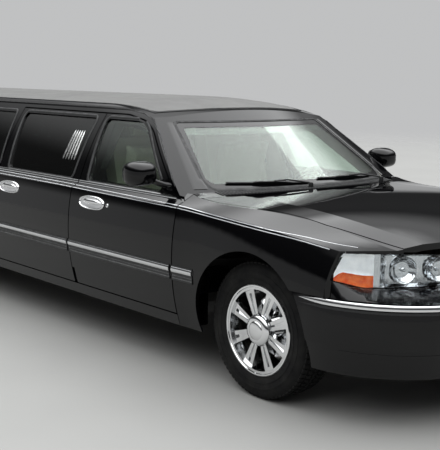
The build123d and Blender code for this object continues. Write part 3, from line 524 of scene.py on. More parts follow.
# Bright trim: rolled stainless strips clipped to the panels. One runs along the belt under the side glass,
# a broad one along the doors at hip height with two fine ribs above it, and two hand-drawn lines follow the
# shoulder.
# Rolled stainless steel: bright, a little softer in gloss than chrome.
stainless = finish("bright_rolled_stainless", "#DADBDC", 1.0, 0.12)
vary(stainless, "Roughness", 0.08, 0.2, 90.0, Detail=4.0)
# Coach line enamel: thin silver paint under lacquer.
coach_line = finish("silver_coach_line_enamel", "#C9CBCE", 0.2, 0.3, {"Coat Weight": 1.0})
vary(coach_line, "Base Color", "#BFC2C6", "#D6D8DA", 120.0, Detail=3.0)
# Satin black plastic: a soft, broad gloss over a fine moulded grain.
satin_black = finish("satin_black_abs", "#0E0F10", 0.0, 0.42)
vary(satin_black, "Roughness", 0.36, 0.52, 50.0, Detail=4.0)
emboss(satin_black, 0.05, 1.8, Detail=2.0)
# The door seams' foot and head, how far they lean back between them, and where each stands from its axle
seam_low, seam_high, seam_lean = 0.330, 1.362, 0.050
cowl_seam, second_seam, third_seam, rear_seam = -0.573, -1.585, -2.605, 1.405
arch_clear, arch_radius, arch_gap, door_heel = 0.462, 0.41, 0.02, 0.300


def panel_spans(height, side, nose, tail):
    """Where each panel starts and ends at a height, front to rear, and the body that it rides on."""
    lean = seam_lean * (height - seam_low) / (seam_high - seam_low)
    cowl, b, c = front_axle + cowl_seam, front_axle + second_seam - lean, front_axle + third_seam - lean
    d, arch = rear_axle + rear_seam - lean, abs(height - axle_height)
    door_end = rear_axle + max(door_heel, math.sqrt(max(arch_clear**2 - arch**2, 0)) + 0.004)
    spans = [(nose, cowl, "root"), (cowl, b, f"front_door_{side}")]
    spans += [(b, c, "middle_door_right"), (c, d, "root")] if side == "right" else [(b, d, "root")]
    spans += [(d, door_end, f"rear_door_{side}")]
    if arch > arch_clear:
        spans.append((door_end, tail, "root"))
    else:
        spans.append((rear_axle - math.sqrt(arch_radius**2 - arch**2) - arch_gap, tail, "root"))
    return spans


def run_along(side, x0, x1, height, gap=0.005, step=0.07):
    """Touched spots along a side from x0 back to x1, at a height that may change with x."""
    out = sides[side]
    count = max(2, int((x0 - x1) / step))
    spots = []
    for n in range(count + 1):
        x = (x0 - gap) + (x1 - x0 + 2 * gap) * n / count
        spots.append(from_side(cabin_nodes[side], x, height(x), out))
    return spots


def shoulder(x):
    """Height of the coach lines, level along the cabin and falling to the lamps at the nose."""
    # Each point: x from the front axle, and height
    points = (
        (-9.0, 0.905), (-7.2, 0.925), (-2.53, 0.928), (-1.75, 0.925), (-0.545, 0.912), (0.31, 0.862),
        (0.60, 0.829),
    )
    return float(np.interp(x - front_axle, *zip(*points)))


moulding = [
    (-0.016, -0.002), (-0.015, 0.006), (-0.009, 0.0105), (0.0, 0.012), (0.009, 0.0105), (0.015, 0.006),
    (0.016, -0.002),
]
backing = [(-0.022, -0.002), (-0.021, 0.0045), (0.058, 0.0045), (0.060, -0.002)]
fine_rib = [(-0.0025, 0.003), (0.0, 0.0075), (0.0025, 0.003)]
line_face = [(-0.0022, -0.0006), (-0.0022, 0.0007), (0.0022, 0.0007), (0.0022, -0.0006)]
belt = [(-0.009, -0.002), (-0.008, 0.005), (0.0, 0.0075), (0.008, 0.005), (0.009, -0.002)]
moulding_height, rib_offsets, hinge_relief = 0.583, (0.031, 0.046), 0.012
line_height, line_gap, belt_height, mirror_foot_room = 0.925, 0.0065, 0.9495, 0.065
# Where each kind of trim starts behind or before the front axle, and where it ends beside the rear one
moulding_ends = (front_axle - 0.400, rear_axle - 0.530)
line_ends = (front_axle + 0.56, rear_axle - 1.02)
belt_ends = (front_axle - 0.575, rear_axle + 0.295)
for side in sides:
    spans = panel_spans(moulding_height, side, *moulding_ends)
    for n, (x0, x1, body) in enumerate(spans):
        # A door's moulding stops short of its hinge seam, so that it clears the next panel as it opens
        x0 -= 0.0 if body == "root" else hinge_relief
        level_line = framed(run_along(side, x0, x1, lambda x: moulding_height))
        place(f"moulding_back_{side}_{n}", sweep(level_line, backing), satin_black, body)
        ribs = [sweep([(s + u * off, o, u) for s, o, u in level_line], fine_rib) for off in rib_offsets]
        bright = joined(sweep(level_line, moulding), *ribs)
        place(f"side_moulding_{side}_{n}", bright, stainless, body)
    spans = panel_spans(line_height, side, *line_ends)
    for n, (x0, x1, body) in enumerate(spans):
        pair = [
            sweep(framed(run_along(side, x0, x1, lambda x, off=off: shoulder(x) + off)), line_face)
            for off in (-line_gap, line_gap)
        ]
        place(f"coach_lines_{side}_{n}", joined(*pair), coach_line, body)
    spans = panel_spans(belt_height, side, *belt_ends)
    for n, (x0, x1, body) in enumerate(spans[1:-1]):
        x0 = x0 if n else x0 - mirror_foot_room
        strip = sweep(framed(run_along(side, x0, x1, lambda x: belt_height)), belt)
        place(f"belt_strip_{side}_{n}", strip, stainless, body)


def slab(centre, size, bevel, turn=None, segments=2):
    """A block with rounded edges, centred, and turned by a rotation matrix if one is given."""
    mesh = bmesh.new()
    bmesh.ops.create_cube(mesh, size=1.0)
    bmesh.ops.scale(mesh, vec=size, verts=mesh.verts)
    bmesh.ops.bevel(mesh, geom=mesh.edges[:], offset=bevel, segments=segments, profile=0.6, affect="EDGES")
    if turn:
        bmesh.ops.rotate(mesh, matrix=turn, verts=mesh.verts)
    bmesh.ops.translate(mesh, vec=centre, verts=mesh.verts)
    return mesh


def lathe(profile, centre, axis, steps=32):
    """A turned shape from (radius, height) points along an axis; it is closed where the radius is nought."""
    mesh = bmesh.new()
    across = Vector(axis).orthogonal().normalized()
    beside = Vector(axis).cross(across).normalized()
    rings = []
    for radius, along in profile:
        spot = Vector(centre) + Vector(axis) * along
        if radius < 1e-6:
            rings.append([mesh.verts.new(spot)] * steps)
        else:
            turns = (2 * math.pi * n / steps for n in range(steps))
            spokes = (across * math.cos(turn) + beside * math.sin(turn) for turn in turns)
            rings.append([mesh.verts.new(spot + spoke * radius) for spoke in spokes])
    for one, two in zip(rings, rings[1:]):
        for n in range(steps):
            corners = [one[n], one[(n + 1) % steps], two[(n + 1) % steps], two[n]]
            face = [v for k, v in enumerate(corners) if v not in corners[:k]]
            if len(face) > 2:
                mesh.faces.new(face)
    return mesh


def tube(points, radius, sides_count):
    """A round bar along points, with flat ends."""
    points = [Vector(p) for p in points]
    stations = []
    for n, spot in enumerate(points):
        along = (points[min(n + 1, len(points) - 1)] - points[max(n - 1, 0)]).normalized()
        out = stations[-1][1] if stations else along.orthogonal()
        out = (out - along * out.dot(along)).normalized()
        stations.append((spot, out, along.cross(out)))
    turns = (2 * math.pi * n / sides_count for n in range(sides_count))
    return sweep(stations, [(math.cos(turn) * radius, math.sin(turn) * radius) for turn in turns])


def even(outline, count):
    """A closed outline's points, spread evenly along it."""
    lengths = [0.0]
    for a, b in zip(outline, outline[1:] + outline[:1]):
        lengths.append(lengths[-1] + (b - a).length)
    marks = np.linspace(0, lengths[-1], count, endpoint=False)
    loop = outline + outline[:1]
    tracks = [[p[k] for p in loop] for k in range(len(outline[0]))]
    return [Vector(np.interp(mark, lengths, track) for track in tracks) for mark in marks]


# Screens: each glass is bonded in, with a black ceramic band fired round its edge, and a soft rubber
# moulding covers the gap. The windscreen also has a tinted sun band; heater lines run across the rear
# window.
# Fired black ceramic: a glossy black band with the finest dots in it.
fired = {"Specular IOR Level": 0.0, "Coat Weight": 1.0, "Coat Roughness": 0.02}
ceramic = finish("black_ceramic_frit", "#050506", 0.0, 0.3, fired)
emboss(ceramic, 0.02, 3.0, kind="Voronoi")
# Sun band film: a see-through green tint across the top of the windscreen.
tinted = {"Transmission Weight": 1.0, "Alpha": 0.75}
sun_band = finish("green_sun_band_film", "#5E8F78", 0.0, 0.0, tinted)
vary(sun_band, "Roughness", 0.0, 0.05, 160.0, Detail=4.0)
# Printed heater line: brown, half metallic paste, fired on to the glass.
heater = finish("printed_heater_line", "#5B4636", 0.6, 0.5)
vary(heater, "Base Color", "#51402F", "#6B543F", 25.0)
band_width, film_lift, edge_inset, moulding_inset, edge_points = 0.036, 0.0006, 0.003, 0.004, 150
# Each screen: which way it faces, half its width at its foot and at its head, and the heights of both
screens = {
    "windscreen": (1, 0.740, 0.600, 0.975, 1.335),
    "rear_window": (-1, 0.690, 0.560, 1.015, 1.335),
}


def screen_outline(name, inset):
    """The outline of a screen as (y, z) points, drawn in by inset."""
    _, low_half, high_half, low, high = screens[name]
    corners = [(-low_half, low), (-high_half, high), (high_half, high), (low_half, low)]
    moved = [
        Vector((y - math.copysign(inset * 1.06, y), z + inset if z == low else z - inset)) for y, z in corners
    ]
    return rounded(moved, [max(0.012, 0.045 - inset * 0.5)] * 4)


def half_width(name, z):
    """Half the width of a screen at a height."""
    _, low_half, high_half, low, high = screens[name]
    return low_half - (low_half - high_half) * (z - low) / (high - low)


def on_screen(name, y, z):
    """Where a level line along the car, coming in from outside, meets a screen."""
    nose, beyond = screens[name][0], 6.0
    return touch(screen_skins[name], (nose * beyond, y, z), (-nose, 0, 0))


screen_skins = {name: skin_of(name) for name in screens}
pillar_skin = skin_of("windscreen", "body_side_left", "body_side_right", "roof_panel", "cowl_panel")
# Black glass covers carry the windscreen's band on over each pillar, out to the roof's ditch: their foot
# and head, how far each reaches past the glass there, how far it starts inside the glass, and how far it
# stands off
cover_low, cover_high, reach_low, reach_high, cover_inside = 0.988, 1.326, 0.072, 0.042, 0.008
cover_lift, cover_rim_lift, cover_strips, cover_steps, easings = 0.0026, 0.0002, 34, 11, 6
for name in screens:
    outer = [on_screen(name, p.x, p.y) for p in even(screen_outline(name, edge_inset), edge_points)]
    inner = [on_screen(name, p.x, p.y) for p in even(screen_outline(name, band_width), edge_points)]
    mesh = bmesh.new()
    loops = [[mesh.verts.new(spot + normal * film_lift) for spot, normal in ring] for ring in (outer, inner)]
    for n in range(edge_points):
        mesh.faces.new((loops[0][n - 1], loops[0][n], loops[1][n], loops[1][n - 1]))
    place(f"{name}_frit", mesh, ceramic)
    if name == "windscreen":
        for side, out in sides.items():
            mesh = bmesh.new()
            grid = []
            for z in np.linspace(cover_low, cover_high, cover_strips):
                half = half_width(name, z)
                reach = reach_low - (reach_low - reach_high) * (z - cover_low) / (cover_high - cover_low)
                steps = np.linspace(-cover_inside, reach, cover_steps)
                row = [touch(pillar_skin, (6.0, out * (half + step), z), (-1, 0, 0)) for step in steps]
                if all(row):
                    lifts = [cover_rim_lift] + [cover_lift] * (cover_steps - 2) + [cover_rim_lift]
                    grid.append([spot + normal * lift for lift, (spot, normal) in zip(lifts, row)])
            # Each row is eased towards its neighbours, so that the cover bridges the joint beside the glass
            for _ in range(easings):
                for row in grid:
                    for k in range(2, cover_steps - 2):
                        row[k] = row[k] * 0.5 + (row[k - 1] + row[k + 1]) * 0.25
            fill_rows(mesh, [[mesh.verts.new(spot) for spot in row] for row in grid])
            place(f"pillar_cover_{side}", mesh, ceramic, smooth=60)
    outline = even(screen_outline(name, moulding_inset), edge_points)
    edge = framed([on_screen(name, p.x, p.y) for p in outline], True)
    wide_channel = [(a * 1.2, b + 0.001) for a, b in channel]
    place(f"{name}_moulding", sweep(edge, wide_channel, closed=True), rubber)

# The sun band lies in the glass: its heights, the margin at its ends, and its depth behind the outer face
band_low, band_high, band_margin, band_depth = 1.255, 1.316, 0.030, 0.0155
mesh = bmesh.new()
grid = []
for z in np.linspace(band_low, band_high, 4):
    half = half_width("windscreen", z) - band_margin
    spots = [on_screen("windscreen", y, z)[0] for y in np.linspace(-half, half, 30)]
    grid.append([mesh.verts.new(spot - Vector((band_depth, 0, 0))) for spot in spots])
fill_rows(mesh, grid)
place("sun_band", mesh, sun_band)
heater_low, heater_high, heater_count, heater_margin = 1.06, 1.29, 11, 0.060
heater_line = [(-0.0008, -0.0002), (-0.0008, 0.0003), (0.0008, 0.0003), (0.0008, -0.0002)]
lines = []
for z in np.linspace(heater_low, heater_high, heater_count):
    half = half_width("rear_window", z) - heater_margin
    spots = [on_screen("rear_window", y, z) for y in np.linspace(-half, half, 24)]
    lines.append(sweep(framed(spots), heater_line))
place("rear_heater_lines", joined(*lines), heater)

# Cowl and wipers: black plastic ribs cover the vent at the windscreen's foot. Two wipers are parked on the
# glass: steel arms on capped pivots carry the rubber blades on a bridge.
# Wiper steel: matt black coating with a soft gloss.
wiper_steel = finish("matt_black_wiper_steel", "#0C0D0E", 0.3, 0.4)
vary(wiper_steel, "Roughness", 0.33, 0.5, 30.0)
# Vent plastic: dull black with a leathery moulded grain.
vent_plastic = finish("grained_vent_plastic", "#121314", 0.0, 0.6)
emboss(vent_plastic, 0.1, 4.0, kind="Voronoi")
vary(vent_plastic, "Roughness", 0.52, 0.68, 70.0, Detail=4.0)
cowl_skin = skin_of("cowl_panel")
screen_foot, vent_half, vent_ribs, vent_bend, vent_from, vent_to = -0.455, 0.700, 71, 2.125, 0.012, 0.078
above_cowl = 1.4
vent_rib = [(-0.006, -0.001), (-0.004, 0.004), (0.004, 0.004), (0.006, -0.001)]
ribs = []
for y in np.linspace(-vent_half, vent_half, vent_ribs):
    edge_x = front_axle + screen_foot - (vent_bend - math.sqrt(vent_bend**2 - y * y))
    marks = np.linspace(edge_x + vent_from, edge_x + vent_to, 5)
    spots = [touch(cowl_skin, (x, y, above_cowl), (0, 0, -1)) for x in marks]
    if all(spots):
        ribs.append(sweep(framed(spots), vent_rib))
place("cowl_vent", joined(*ribs), vent_plastic)
blade_low, blade_rise, arm_radius = 0.992, 0.018, 0.005
blade_section = [(-0.002, 0.0), (-0.004, 0.012), (0.004, 0.012), (0.002, 0.0)]
bridge_section = [(-0.005, 0.011), (-0.004, 0.020), (0.004, 0.020), (0.005, 0.011)]
pivot_cap = [(0.0, 0.034), (0.010, 0.032), (0.014, 0.022), (0.015, 0.0)]
# Each wiper: y of its pivot, of the blade's inner end and of its outer end
for n, (pivot_y, inner_y, outer_y) in enumerate(((-0.10, -0.06, -0.60), (0.52, 0.56, 0.04))):
    marks = np.linspace(inner_y, outer_y, 14)
    stations = framed([
        on_screen("windscreen", y, blade_low + blade_rise * (k / 13)) for k, y in enumerate(marks)
    ])
    blade = sweep(stations, blade_section)
    bridge = sweep(stations[3:11], bridge_section, taper=2)
    middle, out, _ = stations[6]
    foot = Vector((front_axle + screen_foot - 0.02 + 0.05, pivot_y, 0.985))
    elbow = middle + out * 0.024 - Vector((0, 0.1 * np.sign(outer_y - inner_y), 0))
    arm = tube([foot, foot + Vector((-0.01, 0, 0.018)), elbow, middle + out * 0.02], arm_radius, 8)
    cap = lathe(pivot_cap, foot - Vector((0, 0, 0.012)), (0, 0, 1), 16)
    place(f"wiper_{n}", joined(blade, bridge, arm, cap), wiper_steel)

# Roof ditch: a thin rubber moulding is pressed into the joint between roof and sides, from the rear pillars
# over the doors and down each windscreen pillar to the cowl.
# Each point of the ditch: x from the front or the rear axle, and height
ditch_ahead = (
    (-0.690, 1.006), (-0.780, 1.078), (-0.900, 1.172), (-1.020, 1.265), (-1.080, 1.308), (-1.150, 1.344),
    (-1.250, 1.372), (-1.420, 1.392), (-1.700, 1.397),
)
ditch_behind = ((0.620, 1.397), (0.400, 1.388), (0.200, 1.360), (0.105, 1.335))
ditch_rows = [(front_axle + x, z) for x, z in ditch_ahead] + [(rear_axle + x, z) for x, z in ditch_behind]
ditch_spacing = 0.045
ditch = [(-0.0045, -0.001), (-0.0035, 0.0028), (0.0035, 0.0028), (0.0045, -0.001)]
for side, out in sides.items():
    skin = skin_of(f"body_side_{side}", f"quarter_{side}", "roof_panel", f"door_front_{side}")
    spots = []
    for (x0, z0), (x1, z1) in zip(ditch_rows, ditch_rows[1:]):
        pieces = max(2, int(abs(x1 - x0) / ditch_spacing))
        for k in range(pieces):
            x, z = x0 + (x1 - x0) * k / pieces, z0 + (z1 - z0) * k / pieces
            spots.append(from_side(skin, x, z, out))
    place(f"roof_ditch_{side}", sweep(framed(spots), ditch), rubber)

# Door handles: an oval die-cast bezel with a dished middle, and a pull paddle across its upper half, all
# chromed and bolted through the door's skin. The front doors have a key lock beside it.
# Chrome plate: a near mirror, with faint waves and polishing haze.
chrome = finish("polished_chrome_plate", "#E4E5E6", 1.0, 0.05)
vary(chrome, "Roughness", 0.03, 0.1, 55.0, Detail=4.0)
emboss(chrome, 0.02, 60.0)
handle_height, handle_half, handle_squareness, handle_points = 0.848, (0.123, 0.035), 0.8, 48
paddle_half, paddle_rise, lock_offset = 0.098, 0.006, 0.160
bezel_section = [(-0.006, -0.001), (-0.005, 0.006), (0.0, 0.0095), (0.005, 0.006), (0.006, -0.001)]
paddle_section = [(-0.015, 0.006), (-0.012, 0.011), (0.0, 0.0155), (0.012, 0.012), (0.016, 0.006)]
lock_profile = [(0.0, 0.004), (0.008, 0.004), (0.011, 0.002), (0.012, -0.001)]
handles = [("front", front_axle - 1.370), ("rear", rear_axle + 0.515)]


def oval(half_wide, half_tall, squareness, count):
    """An oval's (across, up) points; a squareness of 1 gives an ellipse, and less gives boxier corners."""
    points = []
    for n in range(count):
        turn = 2 * math.pi * n / count
        across = math.copysign(abs(math.cos(turn)) ** squareness, math.cos(turn)) * half_wide
        points.append((across, math.copysign(abs(math.sin(turn)) ** squareness, math.sin(turn)) * half_tall))
    return points


for side, out in sides.items():
    places = handles + ([("middle", front_axle - 2.370)] if side == "right" else [])
    for name, x in places:
        door_skin = skin_of(f"door_{name}_{side}")
        outline = oval(*handle_half, handle_squareness, handle_points)
        path = [from_side(door_skin, x + a, handle_height + b, out) for a, b in outline]
        ring = sweep(framed(path, True), bezel_section, closed=True)
        dish = bmesh.new()
        middle = from_side(door_skin, x, handle_height, out)
        hub = dish.verts.new(middle[0] + middle[1] * 0.0012)
        rim_loop = [dish.verts.new(spot + normal * 0.003) for spot, normal in path]
        for k in range(handle_points):
            dish.faces.new((hub, rim_loop[k - 1], rim_loop[k]))
        marks = np.linspace(-paddle_half, paddle_half, 12)
        bar_spots = [from_side(door_skin, x + a, handle_height + paddle_rise, out) for a in marks]
        paddle = sweep(framed(bar_spots), paddle_section, taper=3)
        body = f"{name}_door_{side}"
        place(f"handle_{name}_{side}", joined(ring, dish, paddle), chrome, body, smooth=50)
        if name == "front":
            lock_spot, lock_normal = from_side(door_skin, x + lock_offset, handle_height, out)
            lock = lathe(lock_profile, lock_spot, lock_normal, 24)
            place(f"lock_{name}_{side}", lock, chrome, body)

# Door mirrors: a moulded housing, painted like the body, on a foot at the door's front corner. The silvered
# glass is set into its rear face in a black bezel.
# Silvered glass: a clean mirror, slightly cool in tone.
mirror_glass = finish("silvered_mirror_glass", "#C9CFD2", 1.0, 0.02)
vary(mirror_glass, "Roughness", 0.01, 0.04, 120.0, Detail=3.0)
housing_centre = Vector((front_axle - 0.8265, 1.0115, 1.069))
housing_half = Vector((0.081, 0.087, 0.068))
# The shell's rings and points, how boxy it is, how it narrows to its nose, and where its back is cut flat
shell_rings, shell_points, boxiness, nose_narrow, nose_lower, back_cut = 18, 28, 0.62, 0.22, 0.20, 0.90
# The foot's middle line, as x from the front axle, y and z, and its section
foot_line = ((-0.752, 0.878, 1.004), (-0.765, 0.905, 1.008), (-0.79, 0.94, 1.022), (-0.81, 0.962, 1.036))
foot_turns = [n * math.pi / 6 for n in range(12)]
foot_section = [(math.cos(turn) * 0.030, math.sin(turn) * 0.017) for turn in foot_turns]
mirror_face = oval(0.072, 0.052, 0.5, 40)
# Each plate in the back of the housing: its name, material, slot, size and how far it stands out
mirror_plates = (
    ("bezel", satin_black, "black_trim", 1.0, 0.0015),
    ("glass", mirror_glass, "chrome", 0.93, 0.0028),
)
for side, out in sides.items():
    mesh = bmesh.new()
    rings = []
    for i in range(1, shell_rings):
        lat = math.pi * i / shell_rings
        rings.append([])
        for j in range(shell_points):
            lon = 2 * math.pi * j / shell_points
            raw = (math.cos(lat), math.sin(lat) * math.cos(lon), math.sin(lat) * math.sin(lon))
            soft = [math.copysign(abs(v) ** boxiness, v) for v in raw]
            if soft[0] > 0:
                soft = [soft[0], soft[1] * (1 - nose_narrow * soft[0]), soft[2] * (1 - nose_lower * soft[0])]
            else:
                soft[0] = max(soft[0], -back_cut)
            spot = housing_centre + Vector(soft) * housing_half
            rings[-1].append(mesh.verts.new((spot.x, spot.y * out, spot.z)))
    fill_rows(mesh, rings, closed=True)
    mesh.faces.new(rings[0])
    mesh.faces.new(rings[-1])
    foot_spots = [Vector((front_axle + x, out * y, z)) for x, y, z in foot_line]
    foot_bar = sweep([(spot, Vector((0, 0, 1)), Vector((1, 0, 0))) for spot in foot_spots], foot_section)
    body = f"front_door_{side}"
    shell = joined(mesh, foot_bar)
    housing = place(f"mirror_housing_{side}", shell, body_paint, body, smooth=60)
    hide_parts(f"mirror_{side}")
    back = housing_centre.x - back_cut * housing_half.x
    centre_y, centre_z = out * housing_centre.y, housing_centre.z
    for name, material, slot_name, size, depth in mirror_plates:
        plate = bmesh.new()
        loops = [
            [plate.verts.new((x, centre_y + a * wide, centre_z + b * wide)) for a, b in mirror_face]
            for x, wide in ((back + 0.004, size), (back - depth, size * 0.98))
        ]
        for k in range(len(mirror_face)):
            plate.faces.new((loops[0][k - 1], loops[0][k], loops[1][k], loops[1][k - 1]))
        plate.faces.new(loops[1])
        place(f"mirror_{name}_{side}", plate, material, body, smooth=30)


# Headlamps: a clear polycarbonate lens is glued over a bright housing with a low-beam and a high-beam
# reflector. The corner is a white side lamp over an amber turn lamp, behind a divider.
# Clear polycarbonate: water-clear and glossy, bending what lies behind it only a little.
lamp_plastic = finish(
    "clear_lamp_polycarbonate", "#F4F7F8", 0.0, 0.0, {"Transmission Weight": 1.0, "IOR": 1.2}
)
vary(lamp_plastic, "Roughness", 0.0, 0.03, 80.0, Detail=4.0)
# Metallised reflector: bright, with tall facets that break the reflection up.
reflector = finish("metallised_reflector", "#D9DBDD", 1.0, 0.14)
emboss(reflector, 1.2, 16.0, kind="Voronoi", stretch=(1, 1, 4))
vary(reflector, "Roughness", 0.08, 0.22, 30.0)
# White diffuser plastic: ribbed upright, with a faint painted glow so that it reads white in shade.
side_lamp = finish(
    "white_diffuser_plastic", "#F1F2F0", 0.0, 0.25,
    {"Emission Color": linear("#F4F6F8"), "Emission Strength": 0.12},
)
emboss(side_lamp, 0.5, 5.0, stretch=(1, 1, 30))
vary(side_lamp, "Base Color", "#E7E9EA", "#F6F7F6", 40.0)
# Amber plastic: ribbed upright, with a faint painted glow.
amber = finish(
    "amber_turn_lamp_plastic", "#E0571C", 0.0, 0.2,
    {"Emission Color": linear("#E0571C"), "Emission Strength": 0.15},
)
emboss(amber, 0.5, 5.0, stretch=(1, 1, 30))
vary(amber, "Base Color", "#D4481A", "#EA7A3A", 35.0)
lamp_skin = skin_of("headlamps")
# The lamp's face is touched along lines aimed at an eye inside the car, at these angles and heights
lamp_eye_x, lamp_eye_y, lamp_eye_reach, lamp_scan = front_axle + 0.350, 0.450, 1.2, (0.640, 0.840, 0.002)
lamp_angles = np.radians(np.linspace(-18.5, 74.0, 46))
lens_wall, lens_gap, wall_depth = 0.003, 0.002, 0.001
lamp_rows, corner_from, divider_width, turn_rows = 14, 31, 2, 5
bowl_depth_in, bulb_depth_in = 0.010, 0.008
lens_parts, tray_parts, bowl_parts, white_parts, amber_parts = [], [], [], [], []


def wall(columns, first, last, low, high, bulge):
    """A dished skin behind the lens, between two columns and two rows of the lamp's grid."""
    mesh = bmesh.new()
    grid = []
    for c in range(first, last + 1):
        toward, column = columns[c]
        grid.append([])
        for r in range(low, high + 1):
            edge = min((c - first) / 2, (last - c) / 2, r - low, high - r, 1.0)
            deep = lens_wall + lens_gap + (wall_depth + bulge * edge)
            grid[-1].append(mesh.verts.new(column[r][0] + toward * deep))
    fill_rows(mesh, grid)
    return mesh


for side, out in sides.items():
    columns = []
    for angle in lamp_angles:
        toward = Vector((-math.cos(angle), -out * math.sin(angle), 0))
        start = Vector((lamp_eye_x, out * lamp_eye_y, 0)) - toward * lamp_eye_reach
        seen = []
        for z in np.arange(*lamp_scan):
            hit = touch(lamp_skin, start + Vector((0, 0, z)), toward)
            if hit and abs(hit[1].z) < 0.6 and (hit[0] - start).xy.length > 0.5:
                seen.append(z)
        if len(seen) > 6:
            marks = np.linspace(seen[0] + 0.002, seen[-1] - 0.002, lamp_rows + 1)
            column = [touch(lamp_skin, start + Vector((0, 0, z)), toward) for z in marks]
            if all(column):
                columns.append((toward, column))
    last = len(columns) - 1
    mesh = bmesh.new()
    outer, inner = [
        [[mesh.verts.new(spot - normal * depth) for spot, normal in column] for _, column in columns]
        for depth in (0.0, lens_wall)
    ]
    fill_rows(mesh, outer)
    fill_rows(mesh, inner)
    for r in range(lamp_rows):
        for c in (0, last):
            mesh.faces.new((outer[c][r], outer[c][r + 1], inner[c][r + 1], inner[c][r]))
    for c in range(last):
        for r in (0, lamp_rows):
            mesh.faces.new((outer[c][r], outer[c + 1][r], inner[c + 1][r], inner[c][r]))
    lens_parts.append(mesh)
    corner_end = corner_from + divider_width
    tray_parts.append(wall(columns, 0, corner_from, 0, lamp_rows, 0.026))
    tray_parts.append(wall(columns, corner_from, corner_end, 0, lamp_rows, 0.0))
    white_parts.append(wall(columns, corner_end, last, turn_rows, lamp_rows, 0.012))
    amber_parts.append(wall(columns, corner_end, last, 0, turn_rows, 0.006))
    # Each bowl: column and row of its middle, its radius and its depth
    for c, r, radius, depth in ((8, 7, 0.056, 0.034), (22, 7, 0.060, 0.036)):
        toward, column = columns[c]
        centre = column[r][0] + toward * bowl_depth_in
        turns = np.linspace(0.12, math.pi / 2, 9)
        dish = [(radius * math.sin(turn), depth * (1 - math.sin(turn) ** 2)) for turn in turns]
        rolled_rim = [(radius + 0.005, -0.001), (radius + 0.005, 0.006)]
        bulb = [(0.0, -0.006), (0.006, -0.004), (0.007, 0.010), (0.010, 0.012), (0.010, depth)]
        bowl_parts.append(lathe(dish + rolled_rim, centre, toward, 28))
        bowl_parts.append(lathe(bulb, centre + toward * bulb_depth_in, toward, 14))
lens = place("headlamp_lenses", joined(*lens_parts), lamp_plastic, smooth=50)
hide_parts("headlamps")
place("headlamp_trays", joined(*tray_parts), reflector, smooth=50)
place("headlamp_bowls", joined(*bowl_parts), reflector, smooth=50)
place("side_lamps", joined(*white_parts), side_lamp, smooth=50)
place("turn_lamps", joined(*amber_parts), amber, smooth=50)

# Bumper shelf: a painted filler panel of thin moulded plastic, which runs from the bumper's top edge up to
# the lower edge of each lamp. It is lacquered black with the bumper.
bumper_skin = skin_of("bumper_front")
nose_eye_x, nose_eye_reach, shelf_foot = front_axle + 0.250, 2.4, 0.612
# The lamps' lower edge lies on this circle, from one half width to the other, and at this height over y
nose_centre, nose_radius, shelf_from, shelf_to = front_axle - 0.881, 1.686, 0.305, 0.956
shelf_line, shelf_low = ((0.511, 0.807, 0.960), (0.649, 0.659, 0.703)), 0.649


def round_end(skin, eye_x, z, angle, nose=1, out=1):
    """A level direction at an angle to the car's line, and where a line along it, coming in from outside the
    bumper towards the eye, meets the skin."""
    toward = Vector((-nose * math.cos(angle), -out * math.sin(angle), 0))
    return toward, touch(skin, Vector((eye_x, 0, z)) - toward * nose_eye_reach, toward)


for side, out in sides.items():
    mesh = bmesh.new()
    rows = []
    for angle in np.radians(np.linspace(22.0, 78.0, 40)):
        toward, hit = round_end(bumper_skin, nose_eye_x, shelf_foot, angle, out=out)
        reach = Vector((nose_eye_x - nose_centre, 0))
        along = Vector((-toward.x, -toward.y))
        run = -reach.dot(along) + math.sqrt(reach.dot(along) ** 2 - reach.length_squared + nose_radius**2)
        back = Vector((nose_eye_x - toward.x * run, -toward.y * run, 0))
        if hit is None or not shelf_from <= abs(back.y) <= shelf_to:
            continue
        back.z = float(np.interp(abs(back.y), *shelf_line))
        front = hit[0] + Vector((0, 0, 0.004))
        front += toward * 0.0015
        middle = front.lerp(back, 0.45) + Vector((0, 0, 0.010 + 0.2 * (back.z - shelf_low)))
        tuck = back + toward * 0.012
        drop = Vector((0, 0, -0.005))
        section = (front, middle, back - toward * 0.002, tuck, tuck + drop, middle + drop, front + drop)
        rows.append([mesh.verts.new(spot) for spot in section])
    fill_rows(mesh, rows, closed=True)
    mesh.faces.new(rows[0])
    mesh.faces.new(rows[-1])
    place(f"bumper_shelf_{side}", mesh, body_paint, smooth=60)

# Bumper brightwork: a chrome strip is clipped along the top of each bumper and tapers away at its ends,
# with a black rubber insert under it.
# Each bumper: node, x its strip is seen from, which way it faces, height, reach to each side in degrees
strips = (("bumper_front", nose_eye_x, 1, 0.601, 84.0), ("bumper_rear", rear_axle - 0.620, -1, 0.590, 78.0))
thick = [(-0.015, -0.001), (-0.013, 0.008), (0.0, 0.0115), (0.013, 0.007), (0.014, -0.001)]
thin_insert = [(-0.006, -0.001), (-0.005, 0.004), (0.005, 0.004), (0.006, -0.001)]
strip_points = 120
# Each layer of a strip: its name, how far it lies below the strip's line, its material, slot and section
layers = (
    ("strip", 0.0, chrome, "chrome", thick),
    ("insert", 0.024, rubber, "black_trim", thin_insert),
)
for node, eye_x, nose, strip_height, spread in strips:
    skin = skin_of(node)
    for tag, lower, material, slot_name, profile in layers:
        angles = np.radians(np.linspace(-spread, spread, strip_points))
        hits = [round_end(skin, eye_x, strip_height - lower, angle, nose)[1] for angle in angles]
        strip = sweep(framed(hits), profile, taper=8)
        place(f"{node}_{tag}", strip, material, smooth=50)

